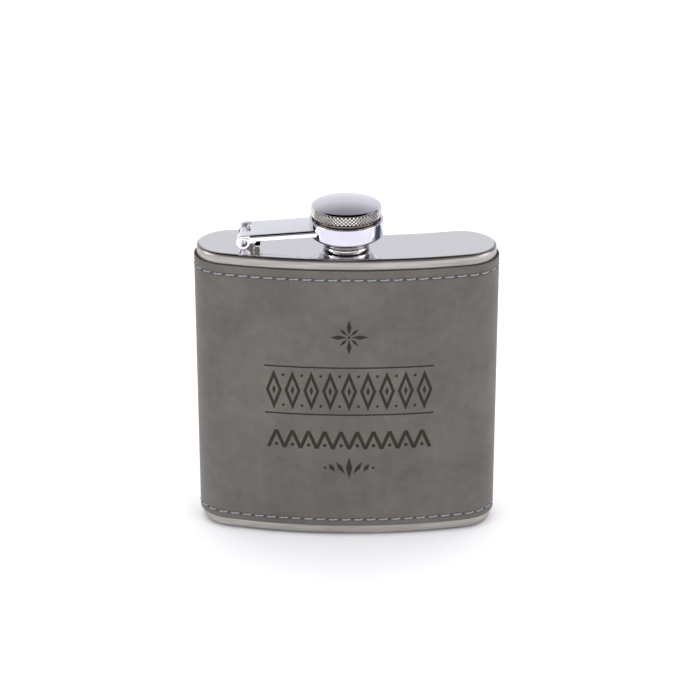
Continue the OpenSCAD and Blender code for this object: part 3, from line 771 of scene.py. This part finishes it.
strap = bmesh.new()
bmesh.ops.create_grid(strap, x_segments=24, y_segments=10, size=0.5)
bmesh.ops.scale(strap, vec=(strap_run, 2 * strap_half, 1), verts=strap.verts)
bmesh.ops.translate(strap, vec=(strap_run / 2, 0, strap_mid), verts=strap.verts)
notch_x = notch_end - pin_at.x
flange_line = strap_half - bend_r - strap_thick / 2
for place, across in (
        ((notch_x, 0, 0), (1, 0, 0)),
        ((0, flange_line, 0), (0, 1, 0)), ((0, -flange_line, 0), (0, 1, 0)),
        ((0, hinge_y + notch_half, 0), (0, 1, 0)), ((0, hinge_y - notch_half, 0), (0, 1, 0))):
    bmesh.ops.bisect_plane(strap, geom=strap.verts[:] + strap.edges[:] + strap.faces[:],
                           plane_co=place, plane_no=across, dist=NOTHING)


def not_in_strap(face):
    """True in the notch, and in the side strips that the flanges take the place of."""
    middle = face.calc_center_median()
    if middle.x < notch_x:
        return abs(middle.y - hinge_y) < notch_half
    return abs(middle.y) > flange_line


bmesh.ops.delete(strap, geom=[f for f in strap.faces if not_in_strap(f)], context="FACES")


# %% Bending the flanges and rolling the barrels
def fold(bm, edges, centre, axis, angle, steps, then=None):
    """Spins a row of edges about a bend line, and may then draw it on straight."""
    verts = list({v for e in edges for v in e.verts})
    bent = bmesh.ops.spin(bm, geom=verts + edges, cent=centre, axis=axis, angle=angle, steps=steps)
    if then:
        drawn = bmesh.ops.extrude_edge_only(bm, edges=edges_in(bent["geom_last"]))["geom"]
        bmesh.ops.translate(bm, vec=then, verts=verts_in(drawn))


def curl_reach(turn):
    """Distance of the curl from its pin: after most of a turn it dives inside itself."""
    share = min(1.0, max(0.0, (turn - 0.72) / 0.26))
    return strap_mid - (strap_thick + 0.02 * MM) * share * share * (3 - 2 * share)


def curl(bm, edges, turns, steps):
    """Rolls a row of edges round the pin, one short turn after another."""
    for step in range(1, steps + 1):
        verts = list({v for e in edges for v in e.verts})
        bent = bmesh.ops.spin(bm, geom=verts + edges, cent=ORIGIN, axis=(0, -1, 0),
                              angle=TURN * turns / steps, steps=1)["geom_last"]
        edges = edges_in(bent)
        for vert in {v for e in edges for v in e.verts}:
            tighten = curl_reach(turns * step / steps) / math.hypot(vert.co.x, vert.co.z)
            vert.co.x, vert.co.z = vert.co.x * tighten, vert.co.z * tighten


def boundary(bm, test):
    return [e for e in bm.edges if e.is_boundary and all(test(v.co) for v in e.verts)]


for hand in (-1, 1):
    edges = boundary(strap, lambda co: abs(co.y - hand * flange_line) < NOTHING
                     and co.x > notch_x - NOTHING)
    fold(strap, edges, (0, hand * flange_line, strap_mid - bend_r), (-hand, 0, 0), TURN / 4, 5,
         (0, 0, -(flange_depth - bend_r - strap_thick / 2)))
    tongue = boundary(strap, lambda co: abs(co.x) < NOTHING and (co.y - hinge_y) * hand > 0)
    curl(strap, tongue, 1.42, 48)
bmesh.ops.remove_doubles(strap, verts=strap.verts, dist=NOTHING)
bmesh.ops.recalc_face_normals(strap, faces=strap.faces)
bmesh.ops.rotate(strap, verts=strap.verts, cent=ORIGIN,
                 matrix=Matrix.Rotation(-strap_rise, 3, "Y"))
bmesh.ops.translate(strap, verts=strap.verts, vec=pin_at)
braze = 0.35 * MM
for vert in strap.verts:
    if vert.co.x > notch_end:
        into = -math.sqrt((collar_r - braze) ** 2 - vert.co.y ** 2)
        share = (vert.co.x - notch_end) / (-notch_end)
        vert.co.x = notch_end + share * (into - notch_end)
strap_piece = finish_piece(strap, "strap", "arm_strap", [strap_chrome_painted_light], sharp=40)
thicken = strap_piece.modifiers.new("sheet", "SOLIDIFY")
thicken.thickness, thicken.offset, thicken.use_even_offset = strap_thick, 0, True
round_off = strap_piece.modifiers.new("edges", "BEVEL")
round_off.width, round_off.segments, round_off.angle_limit = 0.14 * MM, 2, math.radians(50)

# %% [markdown]
# ## The link and the bracket
# The link turns on both pins, so the arm can lift before it swings clear of the body. Both pieces
# are plates with a rounded outline, which has an arc at each eye and is then extruded.

# %% Plates with a rounded outline
lower_low, lower_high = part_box("lower_hinge_pin")
lower_at = Vector(((lower_low.x + lower_high.x) / 2, 0, (lower_low.z + lower_high.z) / 2))


def slab(bm, outline, y_near, y_far):
    """Extrudes a flat outline of (x, z) points from y_near to y_far."""
    corners = [bm.verts.new((x, y_near, z)) for x, z in outline]
    face = bm.faces.new(corners)
    grown = bmesh.ops.extrude_face_region(bm, geom=[face])["geom"]
    bmesh.ops.translate(bm, vec=(0, y_far - y_near, 0), verts=verts_in(grown))


def arc(centre, reach, start, end, steps=14):
    """Points of an arc about a pin, with angles in degrees from +X towards +Z."""
    turns = (math.radians(start + (end - start) * i / steps) for i in range(steps + 1))
    return [(centre.x + reach * math.cos(t), centre.z + reach * math.sin(t)) for t in turns]


def rod(bm, centre, reach, y_near, y_far):
    slab(bm, arc(centre, reach, 0, 360 - 360 / 36, 35), y_near, y_far)


def bevelled(piece, width, angle=40):
    """Breaks the piece's sharp edges, as tumbling does before plating."""
    edge = piece.modifiers.new("edges", "BEVEL")
    edge.width, edge.segments, edge.angle_limit = width, 2, math.radians(angle)
    edge.limit_method = "ANGLE"
    return piece


# %% The link
link = bmesh.new()
upper_reach, lower_reach = 1.45 * MM, 0.95 * MM
lean = math.degrees(math.atan2(pin_at.z - lower_at.z, pin_at.x - lower_at.x))
flare = math.degrees(math.asin((upper_reach - lower_reach) / (pin_at - lower_at).length))
web_half = (link_high.y - link_low.y) / 2 - 1.2 * MM
slab(link, arc(pin_at, upper_reach * 0.98, lean - 90 - flare, lean + 90 + flare)
     + arc(lower_at, lower_reach, lean + 90 + flare, lean + 270 - flare),
     hinge_y - web_half, hinge_y + web_half)
rod(link, pin_at, upper_reach, link_low.y, link_high.y)
bmesh.ops.recalc_face_normals(link, faces=link.faces)
bevelled(finish_piece(link, "link", "hinge_link", [chrome]), 0.12 * MM)

# %% The bracket
bracket_low, bracket_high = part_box("hinge_bracket")
foot_thick, cheek_thick, tab_high, tab_long = 0.5 * MM, 1.0 * MM, 1.5 * MM, 1.9 * MM
foot_x, tab_x = lower_at.x - 2.2 * MM, lower_at.x + 0.2 * MM
on_plate = bracket_low.z
bracket = bmesh.new()
cheek = ([(foot_x, on_plate), (foot_x + 2.1 * MM, on_plate)]
         + arc(lower_at, lower_reach, -20, 160) + [(foot_x, on_plate + foot_thick)])
inset = 0.05 * MM


def standing(x_start, x_end, high):
    """A rectangle that stands on the plate, as an outline for a slab."""
    return [(x_start, on_plate), (x_end, on_plate), (x_end, on_plate + high),
            (x_start, on_plate + high)]


def pair(outline, low, high):
    """Two cheeks with this outline, one at each side."""
    slab(bracket, outline, low.y, low.y + cheek_thick)
    slab(bracket, outline, high.y - cheek_thick, high.y)


pair(cheek, link_low, link_high)
slab(bracket, standing(foot_x + inset, tab_x + tab_long, foot_thick),
     link_low.y + inset, link_high.y - inset)
pair(standing(tab_x, tab_x + tab_long, tab_high), bracket_low, bracket_high)
slab(bracket, standing(tab_x + inset, tab_x + tab_long - inset, foot_thick),
     bracket_low.y + 2 * inset, bracket_high.y - 2 * inset)
bmesh.ops.recalc_face_normals(bracket, faces=bracket.faces)
bevelled(finish_piece(bracket, "bracket", "hinge_bracket", [chrome]), 0.12 * MM)

# %% [markdown]
# ## The pins
# The upper pin is a coiled spring pin, rolled from strip, so that it grips the barrels: its end
# shows a spiral. The lower one is a plain rod with rounded ends.

# %% The pins
coil_turns, coil_steps, coil_thick = 1.6, 44, 0.13 * MM
coil = bmesh.new()
pin_r = (pin_high.z - pin_low.z) / 2
spiral = [(pin_r - coil_thick / 2 - (pin_r - 0.25 * MM) * i / coil_steps * 0.55,
           TURN * coil_turns * i / coil_steps) for i in range(coil_steps + 1)]
polyline(coil, [(pin_at.x + r * math.cos(t), pin_low.y, pin_at.z + r * math.sin(t), 0)
                for r, t in spiral], False)
drawn = bmesh.ops.extrude_edge_only(coil, edges=coil.edges)["geom"]
bmesh.ops.translate(coil, vec=(0, pin_high.y - pin_low.y, 0), verts=verts_in(drawn))
bmesh.ops.recalc_face_normals(coil, faces=coil.faces)
coil_piece = finish_piece(coil, "coiled_pin", "upper_hinge_pin", [chrome],
                          sharp=60)
roll_out = coil_piece.modifiers.new("strip", "SOLIDIFY")
roll_out.thickness, roll_out.offset = coil_thick, 0

lower_pin = bmesh.new()
rod(lower_pin, lower_at, (lower_high.z - lower_low.z) / 2, lower_low.y, lower_high.y)
bmesh.ops.recalc_face_normals(lower_pin, faces=lower_pin.faces)
bevelled(finish_piece(lower_pin, "lower_pin", "lower_hinge_pin", [chrome]),
         0.15 * MM)

# %% [markdown]
# ## The leather wrap
# The wrap is one panel. It is modelled flat: a grid gets closer rows where it will be stitched,
# then a thickness and softened edges. The ornament is burnt in next, and last of all the panel is
# wrapped round the outline, where its two ends leave the narrow seam at the middle of the back.

# %% The flat panel
seam_half = 0.2 * MM
panel_half = half_round - seam_half
panel_high = wrap_high.z - wrap_low.z
panel_middle = (wrap_high.z + wrap_low.z) / 2
top_row, bottom_row = wrap_high.z - 3.0 * MM, wrap_low.z + 2.25 * MM
seam_row = half_round - 2.4 * MM


def upright_grid(columns, rows, high, place):
    """A grid as wide as the wrap that stands up flat, with its middle at `place`."""
    bm = bmesh.new()
    bmesh.ops.create_grid(bm, x_segments=columns, y_segments=rows, size=1)
    bmesh.ops.scale(bm, vec=(panel_half, high / 2, 1), verts=bm.verts)
    bmesh.ops.rotate(bm, verts=bm.verts, cent=ORIGIN, matrix=Matrix.Rotation(TURN / 4, 3, "X"))
    bmesh.ops.translate(bm, verts=bm.verts, vec=place)
    return bm


def cut(bm, geom, place, across):
    """Cuts faces along a plane and gives back all the faces they became."""
    edges = list({e for f in geom for e in f.edges})
    verts = list({v for f in geom for v in f.verts})
    made = bmesh.ops.bisect_plane(bm, geom=verts + edges + list(geom), plane_co=place,
                                  plane_no=Vector(across).normalized(), dist=NOTHING)["geom"]
    return [g for g in made if isinstance(g, bmesh.types.BMFace)]


panel = upright_grid(500, 26, panel_high, (0, 0, panel_middle))
for row in (top_row, bottom_row):
    for step in range(-5, 6):
        cut(panel, panel.faces[:], (0, 0, row + 0.22 * step * MM), UP)
seam_rows = 85
for hand in (-1, 1):
    beside = [f for f in panel.faces if f.calc_center_median().x * hand > seam_row - 0.8 * MM]
    for step in range(1, seam_rows):
        beside = cut(panel, beside, (0, 0, wrap_low.z + step * panel_high / seam_rows), UP)
for face in panel.faces:
    face.smooth = True
bmesh.ops.translate(panel, verts=panel.verts, vec=(0, -wrap_out, 0))
bmesh.ops.solidify(panel, geom=panel.faces[:], thickness=leather_thick)
panel.normal_update()
for face in panel.faces:
    face.material_index = 0 if abs(face.normal.y) > 0.5 else 1
outer_rim = [e for e in panel.edges if {f.material_index for f in e.link_faces} == {0, 1}
             and all(v.co.y < -wrap_mid for v in e.verts)]
bmesh.ops.bevel(panel, geom=outer_rim, offset=0.16 * MM, segments=2, affect="EDGES", profile=0.5,
                material=0)
print(f"flat panel: {2 * panel_half / MM:.1f} x {panel_high / MM:.1f} mm, {len(panel.faces)} faces")

# %% [markdown]
# ## The ornament
# The ornament is plain geometry: a star, a band of lozenges between two rules, a zigzag and a small
# sprig. Each shape is convex, so cutting the leather along its sides leaves faces that are wholly
# in or out. The faces inside are then pushed in and take the burnt finish.

# %% Shapes of the ornament
centre_x = 1.0 * MM


def lozenge(x, z, wide, high, turn=0.0):
    corners = [(wide / 2, 0), (0, high / 2), (-wide / 2, 0), (0, -high / 2)]
    c, s = math.cos(turn), math.sin(turn)
    return [(x + a * c - b * s, z + a * s + b * c) for a, b in corners]


def dot(x, z, wide, sides=12):
    return [(x + wide / 2 * math.cos(TURN * i / sides), z + wide / 2 * math.sin(TURN * i / sides))
            for i in range(sides)]


def bar(start, end, wide):
    along = Vector((end[0] - start[0], end[1] - start[1])).normalized()
    over = Vector((-along.y, along.x)) * wide / 2
    return [(start[0] - over.x, start[1] - over.y), (end[0] - over.x, end[1] - over.y),
            (end[0] + over.x, end[1] + over.y), (start[0] + over.x, start[1] + over.y)]


def star(x, z, reach):
    shapes = [(dot(x, z, 0.16 * reach), None)]
    for i in range(8):
        turn, long = TURN * i / 8, reach if i % 2 == 0 else 0.66 * reach
        middle, wide = 0.12 * reach + 0.44 * long, 0.26 * reach if i % 2 == 0 else 0.17 * reach
        shapes.append((lozenge(x + middle * math.cos(turn), z + middle * math.sin(turn),
                               0.88 * long, wide, turn), None))
    return shapes


def lozenge_band(x, z, half_wide, half_high, count):
    pitch = 2 * half_wide / count
    rule = 0.5 * MM
    shapes = [(bar((x - half_wide, z + up), (x + half_wide, z + up), rule), None)
              for up in (-half_high + rule / 2, half_high - rule / 2)]
    for i in range(count):
        at = x + pitch * (i - (count - 1) / 2)
        outer = lozenge(at, z, 0.86 * pitch, 1.62 * half_high)
        shapes.append((outer, lozenge(at, z, 0.52 * pitch, 0.98 * half_high)))
        shapes.append((lozenge(at, z, 0.2 * pitch, 0.38 * half_high), None))
    for i in range(1, count):
        at = x + pitch * (i - count / 2)
        shapes += [(dot(at, z + up * half_high, 0.95 * MM), None) for up in (-0.62, 0.62)]
    return shapes


def zigzag(x, z, half_wide, half_high, count):
    pitch, line = 2 * half_wide / count, 1.1 * MM
    shapes = []
    for i in range(2 * count):
        start, end = x - half_wide + pitch * i / 2, x - half_wide + pitch * (i + 1) / 2
        low, high = z - half_high + line, z + half_high - line
        ends = (low, high) if i % 2 == 0 else (high, low)
        shapes.append((bar((start, ends[0]), (end, ends[1]), line), None))
    for i in range(count):
        at = x - half_wide + pitch * (i + 0.5)
        shapes.append((dot(at, z - 0.45 * half_high, 1.2 * MM), None))
    return shapes


def sprig(x, z, reach):
    shapes = [(lozenge(x, z, 0.56 * reach, 2 * reach), None)]
    for hand in (-1, 1):
        for i, size in enumerate((0.9, 0.62)):
            away = hand * reach * (0.75 + 0.72 * i)
            shapes.append((lozenge(x + away, z, 0.4 * reach, 1.5 * size * reach,
                                   -hand * math.radians(34)), None))
        shapes.append((dot(x + hand * reach * 2.05, z, 0.24 * reach), None))
    return shapes


ornament = (star(centre_x, 69.1 * MM, 5.9 * MM)
            + lozenge_band(centre_x, 50.7 * MM, 26.5 * MM, 8.3 * MM, 9)
            + zigzag(centre_x, 33.8 * MM, 25.5 * MM, 4.1 * MM, 10)
            + sprig(centre_x, 24.2 * MM, 3.7 * MM))
print("ornament:", len(ornament), "shapes")

# %% Burning it in
burn_depth = 0.12 * MM


def sides_of(polygon):
    return zip(polygon, polygon[1:] + polygon[:1])


def inside(polygon, x, z):
    """True where a point lies on the inner side of every side of a convex polygon."""
    return all((bx - ax) * (z - az) - (bz - az) * (x - ax) > 0
               for (ax, az), (bx, bz) in sides_of(polygon))


def near(face, polygon):
    """True where a face may touch a polygon."""
    xs, zs = [v.co.x for v in face.verts], [v.co.z for v in face.verts]
    return (min(xs) < max(p[0] for p in polygon) and max(xs) > min(p[0] for p in polygon)
            and min(zs) < max(p[1] for p in polygon) and max(zs) > min(p[1] for p in polygon))


field = {f for f in panel.faces if f.normal.y < -0.9 and abs(f.calc_center_median().x) < 30 * MM
         and 16 * MM < f.calc_center_median().z < 78 * MM}
for shape in ornament:
    for polygon in (p for p in shape if p):
        touched = [f for f in field if near(f, polygon)]
        field -= set(touched)
        for (ax, az), (bx, bz) in sides_of(polygon):
            touched = cut(panel, touched, (ax, 0, az), (bz - az, 0, ax - bx))
        field |= set(touched)
burnt = []
for face in field:
    middle = face.calc_center_median()
    if any(inside(outer, middle.x, middle.z)
           and not (hollow_shape and inside(hollow_shape, middle.x, middle.z))
           for outer, hollow_shape in ornament):
        burnt.append(face)
sunk = bmesh.ops.extrude_face_region(panel, geom=burnt)["geom"]
bmesh.ops.delete(panel, geom=burnt, context="FACES")
floor_verts = verts_in(sunk)
bmesh.ops.translate(panel, verts=floor_verts, vec=(0, burn_depth, 0))
for face in {f for v in floor_verts for f in v.link_faces}:
    face.material_index = 2
print("burnt faces:", len(burnt))

# %% [markdown]
# ## Stitches
# A stitch is two plies of thread twisted together, pulled down into a needle hole at each end. One
# stitch is made by spinning two small rings along the stitch's line, and is then copied along each
# row, still flat. A little slant shows that it was sewn by machine.

# %% One stitch
stitch_pitch, stitch_long, thread_r = 4.0 * MM, 3.0 * MM, 0.25 * MM
thread_line = wrap_out - 0.25 * MM + thread_r


def one_stitch():
    bm = bmesh.new()
    ply, steps = 0.56 * thread_r, 8
    for hand in (-1, 1):
        place = Matrix.Translation((-stitch_long / 2, 0, hand * (thread_r - ply)))
        bmesh.ops.create_circle(bm, segments=5, radius=ply,
                                matrix=place @ Matrix.Rotation(TURN / 4, 4, "Y"))
    bmesh.ops.spin(bm, geom=bm.verts[:] + bm.edges[:], axis=(1, 0, 0), cent=ORIGIN,
                   angle=TURN * 1.25, dvec=(stitch_long / steps, 0, 0), steps=steps)
    bmesh.ops.holes_fill(bm, edges=bm.edges, sides=5)
    bmesh.ops.recalc_face_normals(bm, faces=bm.faces)
    for vert in bm.verts:
        share = abs(vert.co.x) / (stitch_long / 2)
        vert.co.y += 0.42 * MM * share ** 4
        vert.co.z += 0.05 * vert.co.x
    mesh = bpy.data.meshes.new("one_stitch")
    bm.to_mesh(mesh)
    bm.free()
    return mesh


stitch_mesh = one_stitch()
print("one stitch:", len(stitch_mesh.polygons), "faces")


# %% Rows of stitches
def sew(name, node, places, upright):
    """Copies the stitch to each (along, height) place on the flat panel and wraps the row."""
    bm = bmesh.new()
    for along, height in places:
        old = set(bm.verts)
        bm.from_mesh(stitch_mesh)
        fresh = [v for v in bm.verts if v not in old]
        if upright:
            bmesh.ops.rotate(bm, verts=fresh, cent=ORIGIN,
                             matrix=Matrix.Rotation(TURN / 4, 3, "Y"))
        bmesh.ops.translate(bm, verts=fresh, vec=(along, -thread_line, height))
    for vert in bm.verts:
        vert.co.x, vert.co.y = around(vert.co.x, -vert.co.y)
    return finish_piece(bm, name, node, [thread])


def along_row(half, pitch):
    count = round(2 * half / pitch)
    return [half * (2 * (i + 0.5) / count - 1) for i in range(count)]


row_places = along_row(seam_row, stitch_pitch)
seam_span = (top_row - bottom_row) / 2 - stitch_pitch / 2
seam_heights = [(top_row + bottom_row) / 2 + z for z in along_row(seam_span, stitch_pitch)]
sew("top_stitches", "top_edge_stitching", [(a, top_row) for a in row_places], False)
sew("bottom_stitches", "bottom_edge_stitching", [(a, bottom_row) for a in row_places], False)
sew("seam_stitches", "rear_seam_stitching",
    [(hand * seam_row, z) for hand in (-1, 1) for z in seam_heights], True)

# %% [markdown]
# ## Puckers and needle holes
# Tight thread pulls the leather in. So the outer face gets a shallow groove under each row and a
# dimple at each needle hole. How far a point is pressed is kept as an attribute too, and the
# leather finish paints the grooves and holes darker with it, as painted shade.

# %% Pressing the rows and wrapping the panel
hole_step = stitch_long / 2 + 0.12 * MM
row_holes = [a + hand * hole_step for a in row_places for hand in (-1, 1)]
seam_holes = [z + hand * hole_step for z in seam_heights for hand in (-1, 1)]
groove_deep, hole_deep = 0.24 * MM, 0.2 * MM


def dip(distance, wide):
    return math.exp(-(distance / wide) ** 2)


def nearest(holes, at):
    """Distance to the nearest of a row of holes, which are in order."""
    share = (at - holes[0]) / (holes[-1] - holes[0]) * (len(holes) - 1)
    low = max(0, min(len(holes) - 2, int(share)) - 1)
    return min(abs(at - hole) for hole in holes[low:low + 4])


pressed_layer = panel.verts.layers.float.new("pressed")
for vert in panel.verts:
    along, height = vert.co.x, vert.co.z
    if vert.co.y > -wrap_mid:
        continue
    groove = hole = 0.0
    for row in (top_row, bottom_row):
        if abs(height - row) < 1.5 * MM and abs(along) < seam_row + 0.5 * MM:
            groove = max(groove, dip(height - row, 0.5 * MM))
            hole = max(hole, dip(math.hypot(nearest(row_holes, along), height - row), 0.34 * MM))
    if abs(abs(along) - seam_row) < 1.5 * MM and bottom_row < height < top_row:
        groove = max(groove, dip(abs(along) - seam_row, 0.5 * MM))
        hole = max(hole, dip(math.hypot(nearest(seam_holes, height), abs(along) - seam_row),
                             0.34 * MM))
    vert.co.y += groove_deep * groove + hole_deep * hole
    # This value darkens the leather in the grooves and holes as painted shade, and also roughens it
    # there.
    vert[pressed_layer] = min(1.0, 0.3 * groove + hole)
wrap_round(panel)
wrap = finish_piece(panel, "leather_panel", "leather_wrap",
                    [grey_leather, cut_edge, burnt_leather], sharp=45)
2 * panel_half

# %% [markdown]
# ## The lining
# A thin woven lining is glued between the leather and the steel. It ends just short of the
# leather's edge, where it shows as a dark line, and its two ends meet the seam at the back.

# %% The lining
lining_low, lining_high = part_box("wrap_lining")
lining_in, lining_thick = 0.01 * MM, 0.3 * MM
lining = upright_grid(300, 4, lining_high.z - lining_low.z,
                      (0, -lining_in - lining_thick, (lining_low.z + lining_high.z) / 2))
bmesh.ops.solidify(lining, geom=lining.faces[:], thickness=lining_thick)
wrap_round(lining)
lining_piece = finish_piece(lining, "lining", "wrap_lining", [lining_cloth])
2 * panel_half

# %% [markdown]
# ## The studio
# Polished metal shows the room, so the room is what gives it its look: a bright floor, a sky that
# falls from near white at the horizon to dark overhead, three dark cards for the accents and two
# bright ones for the glints at the ends. Large soft lights, which the metal doesn't mirror, light
# the leather and the floor.

# %% Floor
floor = bpy.data.objects.new("floor", bpy.data.meshes.new("floor"))
bm = bmesh.new()
bmesh.ops.create_grid(bm, x_segments=1, y_segments=1, size=3.0)
bmesh.ops.translate(bm, verts=bm.verts, vec=(0, 0, -0.0005))
bm.to_mesh(floor.data)
bm.free()
bpy.context.scene.collection.objects.link(floor)
paper = Finish("studio_paper", {"Roughness": 0.9, "Specular IOR Level": 0.1})
paper.drive(Base_Color=paper.mix(paper.noise(0.4, detail=1.0),
                                 rgb(246, 246, 248), rgb(250, 250, 251)))
floor.data.materials.append(paper.material)

# %% Sky
world = bpy.data.worlds.new("studio")
bpy.context.scene.world = world
world.use_nodes = True
sky = world.node_tree
look = sky.nodes.new("ShaderNodeTexCoord")
split = sky.nodes.new("ShaderNodeSeparateXYZ")
ramp = sky.nodes.new("ShaderNodeValToRGB")
sky.links.new(look.outputs["Generated"], split.inputs["Vector"])
sky.links.new(split.outputs["Z"], ramp.inputs["Fac"])
sky.links.new(ramp.outputs["Color"], sky.nodes["Background"].inputs["Color"])
sky.nodes["Background"].inputs["Strength"].default_value = 1.0
sky_tones = [(0.0, rgb(246, 246, 253)), (0.1, rgb(236, 236, 245)), (0.4, rgb(219, 219, 225)),
             (0.57, rgb(188, 187, 192)), (0.69, rgb(157, 156, 160)), (0.785, rgb(141, 141, 144)),
             (0.81, rgb(12, 12, 13))]
stops = ramp.color_ramp.elements
while len(stops) < len(sky_tones):
    stops.new(1.0)
for stop, (position, colour) in zip(stops, sky_tones):
    stop.position, stop.color = position, colour

# %% Cards
def card(name, heading, rise, wide, high, tone, strength=1.0):
    """A card that only mirrors see, at a heading from +Y towards +X and a rise, in degrees."""
    away = 1.4
    turn, lift = math.radians(heading), math.radians(rise)
    place = away * Vector((math.sin(turn) * math.cos(lift), math.cos(turn) * math.cos(lift),
                           math.sin(lift)))
    bm = bmesh.new()
    bmesh.ops.create_grid(bm, x_segments=1, y_segments=1, size=0.5)
    bmesh.ops.scale(bm, vec=(wide, high, 1), verts=bm.verts)
    made = bpy.data.objects.new(name, bpy.data.meshes.new(name))
    bm.to_mesh(made.data)
    bm.free()
    made.location = place
    made.rotation_euler = (-place).to_track_quat("Z", "Y").to_euler()
    made.visible_camera = made.visible_diffuse = made.visible_shadow = False
    board = Finish(name, {"Base Color": (0, 0, 0, 1), "Roughness": 1.0, "Specular IOR Level": 0.0,
                          "Emission Color": tone, "Emission Strength": strength})
    made.data.materials.append(board.material)
    bpy.context.scene.collection.objects.link(made)


card("card_behind_camera", 180, 26, 1.9, 0.75, rgb(120, 112, 106))
card("card_right", 62, 24, 0.7, 0.7, rgb(82, 96, 106))
card("card_left", -66, 22, 0.45, 0.5, rgb(24, 22, 22))
card("glow_right", 100, 12, 0.7, 0.7, rgb(255, 250, 244), 3.4)
card("glow_left", -100, 12, 0.7, 0.7, rgb(255, 250, 244), 3.4)

# %% Lights
def soft_light(name, size, place, aim, power):
    """A large square light that only rough surfaces see."""
    data = bpy.data.lights.new(name, "AREA")
    data.shape, data.size, data.energy = "SQUARE", size, power
    light = bpy.data.objects.new(name, data)
    light.location = place
    light.rotation_euler = (Vector(aim) - Vector(place)).to_track_quat("-Z", "Y").to_euler()
    light.visible_glossy = False
    bpy.context.scene.collection.objects.link(light)


soft_light("overhead", 3.2, (0, 0.2, 1.9), (0, 0.2, 0), 62)
soft_light("front_left", 0.9, (-0.9, -1.0, 0.7), (0, 0, 0.05), 3)
soft_light("front_right", 0.9, (0.9, -1.0, 0.7), (0, 0, 0.05), 3)
